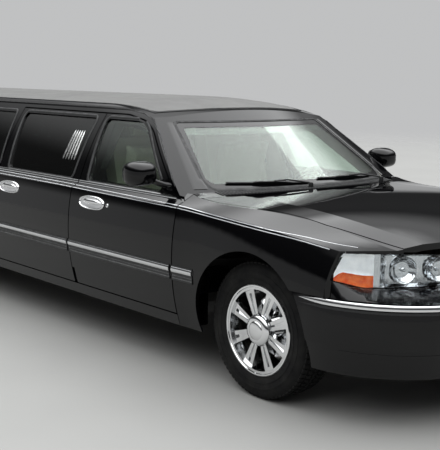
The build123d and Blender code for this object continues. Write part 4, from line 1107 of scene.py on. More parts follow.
# Bumper crease: a fine raised line is moulded into the bumper's plastic cover, low across each front
# corner. It is painted with the cover and catches a thin highlight.
crease = [(-0.004, -0.001), (-0.0015, 0.0022), (0.0015, 0.0022), (0.004, -0.001)]
crease_height, crease_angles = 0.385, np.radians(np.linspace(24.0, 72.0, 50))
for side, out in sides.items():
    hits = [round_end(bumper_skin, nose_eye_x, crease_height, angle, out=out)[1] for angle in crease_angles]
    line = sweep(framed(hits), crease, taper=4)
    place(f"bumper_crease_{side}", line, body_paint, smooth=60)

# Lower intake and grille: a black expanded-metal mesh stands behind the slats of the intake, and a finer
# one behind the bars of the chromed grille. A grey moulded splash tray hangs below the bumper on each side.
# Black mesh: painted metal strands with a soft gloss.
mesh_black = finish("black_expanded_mesh", "#101011", 0.4, 0.5)
vary(mesh_black, "Roughness", 0.42, 0.6, 20.0)
# Splash tray plastic: mid grey, dull and dusty.
tray_plastic = finish("grey_splash_tray_plastic", "#77797A", 0.0, 0.6)
vary(tray_plastic, "Base Color", "#6A6B6B", "#858686", 60.0, Detail=4.0)
emboss(tray_plastic, 0.1, 6.0)
intake_x, intake_half, intake_low, intake_high, intake_step = front_axle + 0.882, 0.41, 0.302, 0.380, 0.024
strand_lean, intake_strand, grille_strand, grille_step = 0.020, 0.0016, 0.0015, 0.012
strands = []
for lean in (-1, 1):
    for y in np.arange(-intake_half, intake_half + 0.001, intake_step):
        a = Vector((intake_x, y - strand_lean * lean, intake_low))
        b = Vector((intake_x, y + strand_lean * lean, intake_high))
        strands.append(tube([a, b], intake_strand, 5))
place("intake_mesh", joined(*strands), mesh_black)
level_x, upright_x = front_axle + 0.768, front_axle + 0.770
grille_strands = []
for z in np.arange(0.650, 0.790, grille_step):
    grille_strands.append(tube([(level_x, -0.262, z), (level_x, 0.262, z)], grille_strand, 5))
for y in np.arange(-0.258, 0.259, grille_step):
    grille_strands.append(tube([(upright_x, y, 0.646), (upright_x, y, 0.786)], grille_strand, 5))
place("grille_mesh", joined(*grille_strands), mesh_black)
for side, out in sides.items():
    tray = slab((front_axle + 0.60, out * 0.58, 0.246), (0.20, 0.14, 0.014), 0.005)
    place(f"splash_tray_{side}", tray, tray_plastic)
dress(chrome, "grille")

# Wheels: cast alloy rims with a polished, chromed face. A broad blank cap, stepped and domed, is pressed
# over the hub. Behind the spokes are a turned brake disc, grooved round its edge, and its cast caliper.
hub_cap = (
    (0.0, 0.1215), (0.022, 0.121), (0.040, 0.1185), (0.046, 0.1155), (0.048, 0.113), (0.052, 0.1135),
    (0.066, 0.110), (0.076, 0.103), (0.081, 0.094), (0.082, 0.084),
)
rim_lip = [(0.2185, 0.1005), (0.221, 0.1045), (0.228, 0.1045), (0.2305, 0.1005)]
brake_disc = [
    (0.060, -0.020), (0.160, -0.020), (0.160, -0.030), (0.158, -0.0305), (0.158, -0.040), (0.160, -0.0405),
    (0.160, -0.050), (0.060, -0.050),
]
# The caliper sits astride the disc: its middle's radius, its depth, the arc it takes in degrees and its
# section
caliper_radius, caliper_depth, caliper_arc = 0.150, -0.036, (140, 205)
caliper_section = [(-0.034, -0.034), (-0.034, 0.028), (0.020, 0.030), (0.028, 0.014), (0.028, -0.030)]
# Chromed alloy: bright, a little hazier than chrome plate on steel.
alloy = finish("chromed_cast_alloy", "#DDDEDF", 1.0, 0.08)
vary(alloy, "Roughness", 0.05, 0.16, 30.0, Detail=4.0)
vary(alloy, "Base Color", "#CFD0D1", "#E6E7E8", 90.0, Detail=4.0)
# Turned iron: grey, its gloss broken up finely.
brake_iron = finish("turned_brake_iron", "#6E6C69", 1.0, 0.34)
vary(brake_iron, "Roughness", 0.28, 0.45, 6.0, Detail=2.0)
vary(brake_iron, "Base Color", "#5E5B57", "#7C7A77", 50.0, Detail=4.0)
# Each wheel: the body that holds its caliper, y of its middle, and which way it faces
wheels = {
    "front_left": ("steering_left", 0.795, 1), "front_right": ("steering_right", -0.795, -1),
    "rear_left": ("root", 0.815, 1), "rear_right": ("root", -0.815, -1),
}


def wheel_centre(name):
    """The middle of a wheel."""
    return Vector((front_axle if name.startswith("front") else rear_axle, wheels[name][1], axle_height))


for name, (holder, _, out) in wheels.items():
    centre, outward = wheel_centre(name), Vector((0, out, 0))
    dress(alloy, f"rim_{name}")
    cap = lathe(hub_cap, centre, outward, 48)
    lip = lathe(rim_lip, centre, outward, 72)
    place(f"wheel_face_{name}", joined(cap, lip), chrome, f"wheel_{name}")
    disc = lathe(brake_disc, centre, outward, 56)
    place(f"brake_disc_{name}", disc, brake_iron, f"wheel_{name}")
    arc = []
    for turn in np.linspace(*np.radians(caliper_arc), 9):
        spoke = Vector((math.cos(turn), 0, math.sin(turn)))
        reach = Vector((math.cos(turn) * caliper_radius, 0, math.sin(turn) * caliper_radius))
        arc.append((centre + outward * caliper_depth + reach, outward, spoke))
    caliper = sweep(arc, caliper_section, taper=1)
    place(f"brake_caliper_{name}", caliper, cast_iron, holder)

# Tyres: moulded rubber with a ribbed sidewall, four grooves round the tread and blocks between them.
# Geometry Nodes sets one tread block of each row out round the carcass; the blocks' edges are chamfered.
# Tyre rubber: black gone grey with dust, dull all over.
tyre_rubber = finish("dusty_tyre_rubber", "#121213", 0.0, 0.72, {"Specular IOR Level": 0.15})
vary(tyre_rubber, "Base Color", "#0E0E0F", "#191918", 90.0, Detail=5.0)
vary(tyre_rubber, "Roughness", 0.62, 0.82, 30.0, Detail=3.0)
emboss(tyre_rubber, 0.06, 1.5, Detail=2.0)
block_count, block_height, block_bevel, block_sink = 76, 0.0115, 0.0018, 0.0002
tread_radius, edge_drop = 0.351, 0.0045
edge_from, crown_fall = 0.05, 0.45
carcass = [
    (0.2195, -0.090), (0.2315, -0.094), (0.242, -0.1045), (0.262, -0.1095), (0.2625, -0.1115),
    (0.266, -0.1115), (0.2665, -0.1100), (0.290, -0.1115), (0.2905, -0.1128), (0.296, -0.1128),
    (0.2965, -0.1110), (0.318, -0.1070), (0.333, -0.099), (0.3415, -0.088), (0.343, -0.060),
    (0.3445, -0.030), (0.3448, 0.0),
]
carcass += [(radius, -y) for radius, y in reversed(carcass[:-1])]
# Each row of blocks: its middle across the tread, its width, its length round the tyre, its skew and phase
block_rows = (
    (-0.078, 0.034, 0.021, 0.10, 0.0),
    (-0.036, 0.034, 0.022, 0.35, 0.5),
    (0.0, 0.026, 0.0245, -0.30, 0.2),
    (0.036, 0.034, 0.022, 0.35, 0.0),
    (0.078, 0.034, 0.021, 0.10, 0.5),
)


def ring_of(block, count, phase):
    """Geometry Nodes: one block set out evenly round the Y axis, as the one mesh of all its copies."""
    group = bpy.data.node_groups.new("tread_ring", "GeometryNodeTree")
    group.interface.new_socket("Geometry", in_out="INPUT", socket_type="NodeSocketGeometry")
    counted = group.interface.new_socket("Count", in_out="INPUT", socket_type="NodeSocketInt")
    turned = group.interface.new_socket("Phase", in_out="INPUT", socket_type="NodeSocketFloat")
    group.interface.new_socket("Geometry", in_out="OUTPUT", socket_type="NodeSocketGeometry")
    ends = add(group, "NodeGroupInput")
    line = add(group, "GeometryNodeMeshLine", {"Count": ends.outputs["Count"], "Offset": (0, 0, 0)})
    count_in = add(group, "GeometryNodeInputIndex").outputs[0]
    index = add(group, "ShaderNodeMath", {0: count_in, 1: ends.outputs["Phase"]}, operation="ADD")
    part = add(group, "ShaderNodeMath", {0: index.outputs[0], 1: ends.outputs["Count"]}, operation="DIVIDE")
    angle = add(group, "ShaderNodeMath", {0: part.outputs[0], 1: 2 * math.pi}, operation="MULTIPLY")
    turn = add(group, "ShaderNodeCombineXYZ", {"Y": angle.outputs[0]})
    laid = {"Points": line.outputs[0], "Instance": ends.outputs["Geometry"], "Rotation": turn.outputs[0]}
    placed = add(group, "GeometryNodeInstanceOnPoints", laid)
    real = add(group, "GeometryNodeRealizeInstances", {0: placed.outputs[0]})
    dressed = {"Geometry": real.outputs[0], "Material": tyre_rubber}
    painted_ring = add(group, "GeometryNodeSetMaterial", dressed)
    add(group, "NodeGroupOutput", {0: painted_ring.outputs[0]})
    maker = block.modifiers.new("ring", "NODES")
    maker.node_group = group
    maker[counted.identifier], maker[turned.identifier] = count, phase
    baked = bpy.data.meshes.new_from_object(block.evaluated_get(bpy.context.evaluated_depsgraph_get()))
    block.modifiers.clear()
    bpy.data.objects.remove(block)
    return baked


tread = bmesh.new()
for across, width, length, skew, phase in block_rows:
    edge_row = abs(across) > edge_from
    crown = tread_radius - (edge_drop if edge_row else 0.0) - block_sink
    lump = slab((0, 0, 0), (length, width, block_height), block_bevel, segments=1)
    for vertex in lump.verts:
        vertex.co.x += vertex.co.y * skew
        if edge_row:
            vertex.co.z -= abs(vertex.co.y + across) ** 2 * crown_fall - across**2 * crown_fall
    bmesh.ops.translate(lump, vec=(0, across, crown - 0.0057), verts=lump.verts)
    ring_mesh = ring_of(build("tread_block", lump, tyre_rubber), block_count, phase)
    tread.from_mesh(ring_mesh)
    bpy.data.meshes.remove(ring_mesh)
tread_data = bpy.data.meshes.new("tread")
tread.to_mesh(tread_data)
tread.free()
for name in wheels:
    centre, body = wheel_centre(name), f"wheel_{name}"
    mesh = lathe(carcass, centre, (0, 1, 0), 96)
    blocks = bmesh.new()
    blocks.from_mesh(tread_data)
    bmesh.ops.translate(blocks, vec=centre, verts=blocks.verts)
    tyre = place(f"tyre_tread_{name}", joined(mesh, blocks), tyre_rubber, body, smooth=35)
    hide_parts(f"tyre_{name}")
bpy.data.meshes.remove(tread_data)


# Upholstery: pads of stone-coloured leather are sewn in channels over foam. One pad is blown up as cloth,
# then stretched to each place over the seat frames, which wear the same leather; the bench's backs are
# plain blocks.
# Seat leather: stone grey, grained, with soft creases and an uneven gloss.
leather = finish("stone_seat_leather", "#B7B2A6", 0.0, 0.48)
vary(leather, "Base Color", "#AFA99D", "#C0BBB0", 240.0, Detail=4.0)
vary(leather, "Roughness", 0.4, 0.56, 45.0)
emboss(leather, 0.35, 4.0, kind="Voronoi")
emboss(leather, 0.8, 60.0, Detail=3.0, Distortion=1.2)
dress(leather, "front_seats", "rear_seat", "side_bench")
pad_voxel, pad_pressure, pad_limit, pad_frames, pad_keep = 0.009, 4.0, 0.024, 20, 0.35
pad_size, pad_round, foam_fill = Vector((0.50, 0.50, 0.11)), 0.022, 0.6


def stuffed():
    """The one pad: a rounded box, remeshed and blown up by pressure, with its movement capped."""
    piece = build("pad", slab((0, 0, 0), pad_size, pad_round, segments=3), leather)
    remesh = piece.modifiers.new("remesh", "REMESH")
    remesh.mode, remesh.voxel_size = "VOXEL", pad_voxel
    for stage_name in ("remesh", "cloth", "thin"):
        if stage_name == "cloth":
            before = [vertex.co.copy() for vertex in piece.data.vertices]
            cloth = piece.modifiers.new("cloth", "CLOTH")
            cloth.settings.use_pressure, cloth.settings.uniform_pressure_force = True, pad_pressure
            cloth.settings.effector_weights.gravity = 0
            for number in range(1, pad_frames + 1):
                bpy.context.scene.frame_set(number)
        if stage_name == "thin":
            thin = piece.modifiers.new("thin", "DECIMATE")
            thin.ratio = pad_keep
        bpy.context.view_layer.update()
        posed = piece.evaluated_get(bpy.context.evaluated_depsgraph_get())
        made = bpy.data.meshes.new_from_object(posed)
        piece.modifiers.clear()
        piece.data = made
        if stage_name == "cloth":
            for vertex, old in zip(made.vertices, before):
                moved = vertex.co - old
                if moved.length > pad_limit:
                    vertex.co = old + moved.normalized() * pad_limit
    bpy.context.scene.frame_set(1)
    bpy.data.objects.remove(piece)
    return made


pad_mesh = stuffed()
channel_depth, channel_half = 0.012, 0.008


def pads(name, body, places):
    """Sets stretched pads at (centre, size, lean, channels): lean turns about Y, channels cross the top."""
    whole = bmesh.new()
    for centre, size, lean, channels in places:
        one = bmesh.new()
        one.from_mesh(pad_mesh)
        for vertex in one.verts:
            share = Vector(vertex.co[k] / pad_size[k] for k in range(3))
            spot = Vector(share[k] * size[k] for k in range(3))
            for n in range(channels):
                line = ((n + 1) / (channels + 1) - 0.5) * size[1]
                dent = math.exp(-(((spot.y - line) / channel_half) ** 2))
                spot.z -= channel_depth * dent * (1 if share.z > 0 else 0)
            vertex.co = spot
        bmesh.ops.rotate(one, matrix=Matrix.Rotation(math.radians(lean), 3, "Y"), verts=one.verts)
        bmesh.ops.translate(one, vec=centre, verts=one.verts)
        whole = joined(whole, one)
    piece = place(name, whole, leather, body, smooth=180)


for side, out in sides.items():
    y = out * 0.38
    pads(f"front_seat_pads_{side}", "root", [
        ((front_axle - 1.285, y, 0.682), (0.45, 0.47, 0.085), 0, 4),
        ((front_axle - 1.583, y, 0.955), (0.44, 0.44, 0.075), 104, 4),
        ((front_axle - 1.700, y, 1.262), (0.115, 0.215, 0.060), 94, 0),
    ])
rear_pads = [((rear_axle + 0.775, y, 0.700), (0.40, 0.465, 0.10), 0, 3) for y in (-0.50, 0.0, 0.50)]
rear_pads += [((rear_axle + 0.520, y, 0.960), (0.44, 0.385, 0.080), 111, 3) for y in (-0.41, 0.0, 0.41)]
pads("rear_seat_pads", "root", rear_pads)
bench_start, bench_run, bench_seats = -1.658, 2.358, 5
bench_marks = [(bench_start + bench_run * (n + 0.5) / bench_seats) for n in range(bench_seats)]
pads("bench_pads", "root", [((x, 0.485, 0.690), (0.425, 0.33, 0.09), 0, 3) for x in bench_marks])
for n, x in enumerate(bench_marks):
    back = slab((x, 0.676, 0.845), (0.425, 0.05, 0.175), 0.018, segments=4)
    piece = place(f"bench_back_{n}", back, leather, smooth=180)

# Headrest stalks, belt buckles and belts: chromed steel stalks carry the front headrests. Each front seat
# has a buckle beside its cushion and a belt of woven webbing on the pillar.
# Belt webbing: black weave with fine cross ribs and a slight sheen.
webbing = finish("black_belt_webbing", "#17181A", 0.0, 0.8, {"Sheen Weight": 0.2})
emboss(webbing, 0.4, 1.6, stretch=(1, 8, 1))
vary(webbing, "Base Color", "#131415", "#1E1F21", 60.0)
stalks, belts = [], []
for side, out in sides.items():
    for y in (0.32, 0.44):
        ends = [(front_axle - 1.706, out * y, 1.17), (front_axle - 1.712, out * y, 1.225)]
        stalks.append(tube(ends, 0.006, 8))
    belts.append(slab((front_axle - 1.47, out * 0.115, 0.70), (0.03, 0.022, 0.10), 0.005))
    belts.append(slab((front_axle - 1.70, out * 0.700, 0.86), (0.045, 0.003, 0.62), 0.001))
place("headrest_stalks", joined(*stalks), chrome)
place("seat_belts", joined(*belts), webbing)

# Dashboard: a dark soft moulding whose upward faces are painted pale, as painted light falling on its top,
# and a walnut strip. Dials with chromed rings sit under a hood, with slatted vents, a panel with knobs, and
# the steering wheel's hub and stalks.
# Dashboard skin: charcoal, fine-grained and dull.
soft_dash = finish("charcoal_soft_dashboard", "#2A2A2B", 0.0, 0.6)
vary(soft_dash, "Roughness", 0.52, 0.68, 60.0)
emboss(soft_dash, 0.15, 2.5, kind="Voronoi")
# Dashboard top: painted light, pale stone on every face that looks upward, with the same fine grain.
painted_light_dash_top = finish("pale_dashboard_top_painted_light", "#C9C6BD", 0.0, 0.6)
vary(painted_light_dash_top, "Base Color", "#C3C0B7", "#CFCCC4", 200.0, Detail=3.0)
emboss(painted_light_dash_top, 0.15, 2.5, kind="Voronoi")
# Walnut: brown figure running along the strip, under a clear polish.
walnut = finish("polished_walnut", "#4A2C17", 0.0, 0.3, {"Coat Weight": 0.8, "Coat Roughness": 0.06})
vary(walnut, "Base Color", "#2F1A0C", "#6A4324", 26.0, stretch=(9, 9, 1), Detail=6.0, Distortion=1.5)
dress(soft_dash, "dashboard", "steering_wheel", "partition")
# The faces that look upward are painted pale: light painted on the dash top.
line_inside("dashboard", painted_light_dash_top, Vector((0.0, 0.0, 1.0)))
# Dial face: near-black print, half matt.
dial_face = finish("printed_dial_face", "#0D0E10", 0.0, 0.4)
vary(dial_face, "Roughness", 0.3, 0.5, 20.0)
dash_face, rearward, driver_y = front_axle - 0.778, (-1, 0, 0), 0.37
hood_block = slab((dash_face + 0.030, driver_y, 0.893), (0.10, 0.36, 0.030), 0.012, segments=3)
place("instrument_hood", hood_block, soft_dash)
wood_strip = slab((dash_face - 0.003, 0.0, 0.795), (0.008, 1.42, 0.034), 0.003)
place("walnut_strip", wood_strip, walnut)
# Each dial: its y and its radius
dial_height, dial_spots = 0.842, ((0.44, 0.052), (0.30, 0.052), (0.37, 0.026), (0.515, 0.024), (0.225, 0.024))
dials, rings = [], []
for y, radius in dial_spots:
    centre = (dash_face - 0.001, y, dial_height)
    ring = [(radius, 0.002), (radius + 0.001, 0.006), (radius + 0.004, 0.005), (radius + 0.005, -0.004)]
    dials.append(lathe([(0.0, 0.003), (radius, 0.003), (radius, -0.01)], centre, rearward, 28))
    rings.append(lathe(ring, centre, rearward, 28))
place("dials", joined(*dials), dial_face)
place("dial_rings", joined(*rings), chrome)
vent_slats, vent_low, slat_pitch = 5, 0.828, 0.0105
slat_turn = Matrix.Rotation(math.radians(-25), 3, "Y")
knob_profile, knob_y = [(0.0, 0.018), (0.009, 0.017), (0.011, 0.010), (0.011, -0.01)], 0.075
vents, knobs = [], []
for y in (-0.70, -0.13, 0.13, 0.70):
    for n in range(vent_slats):
        spot = (dash_face - 0.004, y, vent_low + n * slat_pitch)
        vents.append(slab(spot, (0.016, 0.12, 0.003), 0.001, slat_turn, segments=1))
# Each panel with knobs: its height, width and how tall it is
for z, width, tall in ((0.745, 0.19, 0.030), (0.702, 0.19, 0.034)):
    vents.append(slab((dash_face + 0.006, 0.0, z), (0.030, width, tall), 0.004))
    for y in (-knob_y, knob_y):
        knobs.append(lathe(knob_profile, (dash_face - 0.008, y, z), rearward, 18))
place("dash_vents", joined(*vents), vent_plastic)
place("radio_knobs", joined(*knobs), chrome)
wheel_axis = Vector((-0.9, 0, 0.42)).normalized()
hub_profile = [(0.0, 0.022), (0.045, 0.020), (0.066, 0.010), (0.070, -0.004), (0.062, -0.020)]
hub = lathe(hub_profile, (front_axle - 0.930, driver_y, 0.86), wheel_axis, 32)
stalks = []
for foot_y, bend_y, tip_y in ((0.40, 0.47, 0.53), (0.34, 0.27, 0.21)):
    path = [(-0.86, foot_y, 0.83), (-0.875, bend_y, 0.85), (-0.89, tip_y, 0.855)]
    stalks.append(tube([(front_axle + x, y, z) for x, y, z in path], 0.006, 8))
place("steering_hub", joined(hub, *stalks), soft_dash)

# Inside mirror: a silvered glass in a plastic shell, on an arm that is bonded to the windscreen. The glass
# is a thin bright plate on the shell's rear face.
mirror_foot = on_screen("windscreen", 0.0, 1.285)[0] - Vector((0.010, 0, 0))
bends = ((0.0, 0.0), (-0.045, 0.004), (-0.075, -0.012))
arm = tube([mirror_foot + Vector((x, 0, z)) for x, z in bends], 0.006, 8)
shell = slab(mirror_foot + Vector((-0.085, 0, -0.018)), (0.026, 0.25, 0.060), 0.011, segments=4)
place("inside_mirror", joined(arm, shell), soft_dash, smooth=60)
mirror_plate = slab(mirror_foot + Vector((-0.0985, 0, -0.018)), (0.002, 0.232, 0.046), 0.0008)
place("inside_mirror_glass", mirror_plate, chrome)

# Lounge: cut-pile carpet, a walnut bar with framed doors, a dark stone top, a chromed rail and glassware, a
# glass in the partition between its rails, and round lamps in the headlining.
# Cut-pile carpet: charcoal, with the mottle and soft edge of its pile.
carpet = finish("charcoal_cut_pile_carpet", "#26282C", 0.0, 0.95, {"Sheen Weight": 0.4})
vary(carpet, "Base Color", "#1F2124", "#303237", 40.0, Detail=5.0)
emboss(carpet, 1.5, 3.0, Detail=3.0)
# Dark stone: near black with grey veins, under a polish.
stone = finish("polished_dark_stone", "#1A1A1C", 0.0, 0.12, {"Coat Weight": 0.6, "Coat Roughness": 0.04})
vary(stone, "Base Color", "#121214", "#37363A", 30.0, Detail=7.0)
carpet_sheet = slab((0.15, 0, 0.4135), (4.98, 1.60, 0.007), 0.002, segments=1)
place("carpet", carpet_sheet, carpet)
dress(walnut, "bar_cabinet")
bar_start, bar_end, bar_bays, rail_posts = -1.558, 0.200, 5, 8
rail_y, rail_foot, rail_height, rail_margin = -0.545, 0.838, 0.872, 0.03
door_knob = [(0.0, 0.020), (0.008, 0.019), (0.010, 0.014), (0.005, 0.008), (0.006, 0.0)]
bar_doors, bar_knobs, glassware = [], [], []
for n in range(bar_bays):
    x = bar_start + (bar_end - bar_start) * (n + 0.5) / bar_bays
    bar_doors.append(slab((x, -0.516, 0.615), (0.330, 0.012, 0.340), 0.004))
    bar_doors.append(slab((x, -0.511, 0.615), (0.250, 0.010, 0.260), 0.006))
    bar_knobs.append(lathe(door_knob, (x + 0.14, -0.510, 0.700), (0, 1, 0), 16))
rail_ends = (bar_start + rail_margin, bar_end - rail_margin)
bar_knobs.append(tube([(x, rail_y, rail_height) for x in rail_ends], 0.005, 10))
for x in np.linspace(bar_start + 0.05, bar_end - 0.05, rail_posts):
    bar_knobs.append(tube([(x, rail_y, rail_foot), (x, rail_y, rail_height)], 0.004, 8))
place("bar_doors", joined(*bar_doors), walnut)
bar_slab = slab(((bar_start + bar_end) / 2, -0.657, 0.831), (1.770, 0.285, 0.022), 0.006, segments=3)
place("bar_top", bar_slab, stone)
place("bar_rail_and_knobs", joined(*bar_knobs), chrome)
# A decanter stands at every third place, and a stemmed glass at the others
decanter = [
    (0.0, 0.004), (0.045, 0.004), (0.048, 0.02), (0.044, 0.09), (0.018, 0.13), (0.016, 0.17), (0.022, 0.175),
    (0.014, 0.172), (0.012, 0.13),
]
stemmed_glass = [
    (0.0, 0.0), (0.030, 0.0), (0.030, 0.003), (0.004, 0.007), (0.004, 0.060), (0.022, 0.072), (0.030, 0.10),
    (0.027, 0.13), (0.0255, 0.129), (0.028, 0.10), (0.020, 0.075), (0.0, 0.066),
]
for n in range(7):
    spot = (bar_start + 0.16 + n * 0.24, -0.63 - 0.06 * (n % 2), 0.8425)
    glassware.append(lathe(decanter if n % 3 == 2 else stemmed_glass, spot, (0, 0, 1), 24))
place("glassware", joined(*glassware), lamp_plastic, smooth=60)
partition_pane = slab((1.335, 0, 1.055), (0.006, 0.90, 0.390), 0.002)
place("partition_glass", partition_pane, privacy_glass)
partition_x, opening_half, opening_low, opening_high = 1.333, 0.452, 0.86, 1.25
upright = [[(partition_x, out * opening_half, z) for z in (opening_low, opening_high)] for out in (1, -1)]
flat = [[(partition_x, y, z) for y in (-opening_half, opening_half)] for z in (opening_low, opening_high)]
rails = [tube(ends, 0.007, 8) for ends in upright + flat]
place("partition_rails", joined(*rails), satin_black)
lamp_dome = [(0.0, 0.016), (0.030, 0.015), (0.046, 0.010), (0.052, 0.004), (0.052, -0.004)]
lamp_spots = [touch(roof_skin, (x, 0, 1.0), (0, 0, 1))[0] for x in (1.9, 0.6, -0.4, -1.4, -2.2)]
ceiling = [lathe(lamp_dome, spot, (0, 0, -1), 32) for spot in lamp_spots]
place("ceiling_lamps", joined(*ceiling), side_lamp, smooth=60)

# Door trim: each door has a padded armrest in leather, a bright inner handle on its plate with a window
# switch below it, and a speaker under a grille of moulded rings.
rest_height, rest_reach, handle_ahead, front_door_back = 0.800, 0.24, 0.20, 0.06
lever_height, speaker_height, lever_tilt = 0.878, 0.560, Matrix.Rotation(math.radians(6), 3, "Z")
rest_section = [(-0.024, -0.002), (-0.018, 0.026), (0.0, 0.033), (0.018, 0.026), (0.024, -0.002)]
for side, out in sides.items():
    for name, carrier in carriers[side].items():
        node = f"door_{name}_{side}"
        skin = skin_of(node)
        low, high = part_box(node)
        middle = (low.x + high.x) / 2 - (front_door_back if name == "front" else 0.0)
        marks = np.linspace(middle - rest_reach, middle + rest_reach, 22)
        hits = [touch(skin, (x, 0, rest_height), (0, out, 0)) for x in marks]
        rest = sweep(framed(hits), rest_section, taper=5)
        place(f"armrest_{name}_{side}", rest, leather, carrier, smooth=80)
        cup = touch(skin, (middle + handle_ahead, 0, lever_height), (0, out, 0))[0]
        inward = Vector((0, -out, 0))
        plate = slab(cup + inward * 0.003, (0.115, 0.008, 0.046), 0.003)
        lever = slab(cup + inward * 0.011, (0.080, 0.007, 0.015), 0.003, lever_tilt)
        switch = slab(cup + inward * 0.030 + Vector((-0.16, 0, -0.060)), (0.060, 0.014, 0.010), 0.003)
        place(f"inner_handle_{name}_{side}", joined(plate, lever, switch), chrome, carrier)
        sound = touch(skin, (middle + handle_ahead, 0, speaker_height), (0, out, 0))[0]
        grille_rings = []
        for r in (0.010, 0.022, 0.034, 0.046, 0.058, 0.070):
            ring = [(r, 0.0), (r + 0.001, 0.005), (r + 0.004, 0.005), (r + 0.005, 0.0)]
            grille_rings.append(lathe(ring, sound, inward, 32))
        place(f"speaker_{name}_{side}", joined(*grille_rings), vent_plastic, carrier)


# Tail: red ribbed lenses with a pale reversing lamp and bright dividing bars, a chrome strip across the
# boot lid, a blank number plate held by four screws under its lamp, chromed exhaust tips and a fuel flap's
# seam.
# Red lens: deep, glossy and ribbed upright, with a faint painted glow.
painted_glow_lens = {
    "Coat Weight": 1.0, "Coat Roughness": 0.02, "Emission Color": linear("#8A0D12"), "Emission Strength": 0.06
}
tail_red = finish("ribbed_red_lens", "#A3121A", 0.0, 0.12, painted_glow_lens)
emboss(tail_red, 0.5, 5.0, stretch=(1, 1, 40))
vary(tail_red, "Base Color", "#8E0E15", "#B3161E", 50.0)
dress(tail_red, "tail_lamps")
tail_skin = skin_of("tail_lamps")
# Plate sheeting: flat off-white with an even, soft gloss.
plate_white = finish("reflective_plate_sheeting", "#E4E5E2", 0.0, 0.35)
vary(plate_white, "Roughness", 0.28, 0.42, 25.0)
vary(plate_white, "Base Color", "#DEDFDC", "#E9EAE8", 90.0)
behind_tail, sternward = -6.0, (1, 0, 0)
# The bars run round each lamp at two heights, along lines aimed at an eye inside the car, at these angles
tail_eye_x, tail_eye_y, tail_eye_reach, bar_heights = rear_axle - 0.620, 0.30, 1.4, (0.735, 0.832)
bar_angles = np.radians(np.linspace(-30.0, 84.0, 60))
bar_section = [(-0.0035, -0.001), (-0.0025, 0.0035), (0.0025, 0.0035), (0.0035, -0.001)]
bars, clears = [], []
for side, out in sides.items():
    eye = Vector((tail_eye_x, out * tail_eye_y, 0))
    for z in bar_heights:
        path = []
        for angle in bar_angles:
            toward = Vector((math.cos(angle), -out * math.sin(angle), 0))
            hit = touch(tail_skin, eye + Vector((0, 0, z)) - toward * tail_eye_reach, toward)
            if hit and abs(hit[1].z) < 0.7:
                path.append(hit)
        bars.append(sweep(framed(path), bar_section, taper=2))
    grid = []
    for z in np.linspace(0.746, 0.821, 8):
        marks = np.linspace(0.50, 0.64, 10)
        grid.append([touch(tail_skin, (behind_tail, out * y, z), sternward) for y in marks])
    clears.append(sheet_over(grid, 0.003, 2))
place("tail_lamp_bars", joined(*bars), chrome)
place("reversing_lamps", joined(*clears), side_lamp, smooth=60)
boot_skin = skin_of("boot_lid")
path = [touch(boot_skin, (behind_tail, y, 0.895), sternward) for y in np.linspace(-0.60, 0.60, 61)]
boot_strip = sweep(framed(path), thick, taper=4)
place("boot_strip", boot_strip, chrome, "boot")
plate_spot = touch(boot_skin, (behind_tail, 0, 0.765), sternward)[0]
plate_sheet = slab(plate_spot - Vector((0.002, 0, 0)), (0.003, 0.305, 0.155), 0.001)
place("number_plate", plate_sheet, plate_white, "boot")
screw_profile, screw_y, screw_z = [(0.0, 0.004), (0.004, 0.0035), (0.006, 0.0)], 0.089, 0.0605
corners = [Vector((-0.0034, y, z)) for y in (-screw_y, screw_y) for z in (-screw_z, screw_z)]
screws = [lathe(screw_profile, plate_spot + corner, rearward, 14) for corner in corners]
screws.append(slab(plate_spot + Vector((-0.006, 0, 0.094)), (0.020, 0.13, 0.016), 0.004))
place("plate_screws_and_lamp", joined(*screws), chrome, "boot")
tip_profile = [
    (0.0268, -0.005), (0.030, 0.0), (0.0325, 0.010), (0.0325, 0.062), (0.034, 0.068), (0.0325, 0.073),
    (0.0275, 0.070), (0.0268, 0.02),
]
tips = [lathe(tip_profile, (-4.168, out * 0.33, 0.266), rearward, 36) for out in (1, -1)]
place("exhaust_tips", joined(*tips), chrome)
flap_skin, flap_half = skin_of("quarter_right"), (0.085, 0.075)
flap_seam = [(-0.0015, -0.001), (-0.0015, 0.0008), (0.0015, 0.0008), (0.0015, -0.001)]
flap_corners = [
    Vector((rear_axle - 0.30 + a * flap_half[0], 0.800 + b * flap_half[1]))
    for a, b in ((-1, -1), (-1, 1), (1, 1), (1, -1))
]
outline = even(rounded(flap_corners, [0.022] * 4), 80)
path = [touch(flap_skin, (p.x, -3.0, p.y), (0, 1, 0)) for p in outline]
seam = sweep(framed(path, True), flap_seam, closed=True)
place("fuel_flap_seam", seam, satin_black)
stop = slab((rear_axle - 0.06, 0, 1.022), (0.050, 0.25, 0.026), 0.007, segments=3)
place("high_stop_lamp", stop, tail_red)

# Louvres: five slats of bright brushed alloy are bonded to the first lounge window on each side, leaning
# with the pillar. Each is a folded strip that is highest along its front edge.
# Brushed alloy: silver, with its brush marks running up each slat.
louvre_metal = finish("brushed_louvre_alloy", "#D6D7D6", 1.0, 0.28)
vary(louvre_metal, "Roughness", 0.2, 0.38, 4.0, stretch=(1, 1, 30))
slat_section = [(-0.0075, -0.001), (-0.004, 0.0045), (0.006, 0.0025), (0.0085, -0.001)]
slat_count, slat_foot, slat_rise, low_run, high_run = 5, 1.065, 0.180, 0.161, 0.129
for side, out in sides.items():
    node, carrier = ("glass_fixed", "root")
    if side == "right":
        node, carrier = ("glass_middle_right", "middle_door_right")
    skin, slats = skin_of(node), []
    for n in range(slat_count):
        low_x = front_axle - 1.916 + low_run * (n + 0.5) / slat_count
        high_x = front_axle - 1.904 + high_run * (n + 0.5) / slat_count
        path = []
        for share in np.linspace(0, 1, 12):
            start = (low_x + (high_x - low_x) * share, out * 3.0, slat_foot + slat_rise * share)
            path.append(touch(skin, start, (0, -out, 0)))
        slats.append(sweep(framed(path), slat_section, taper=2))
    place(f"louvre_{side}", joined(*slats), louvre_metal, carrier)

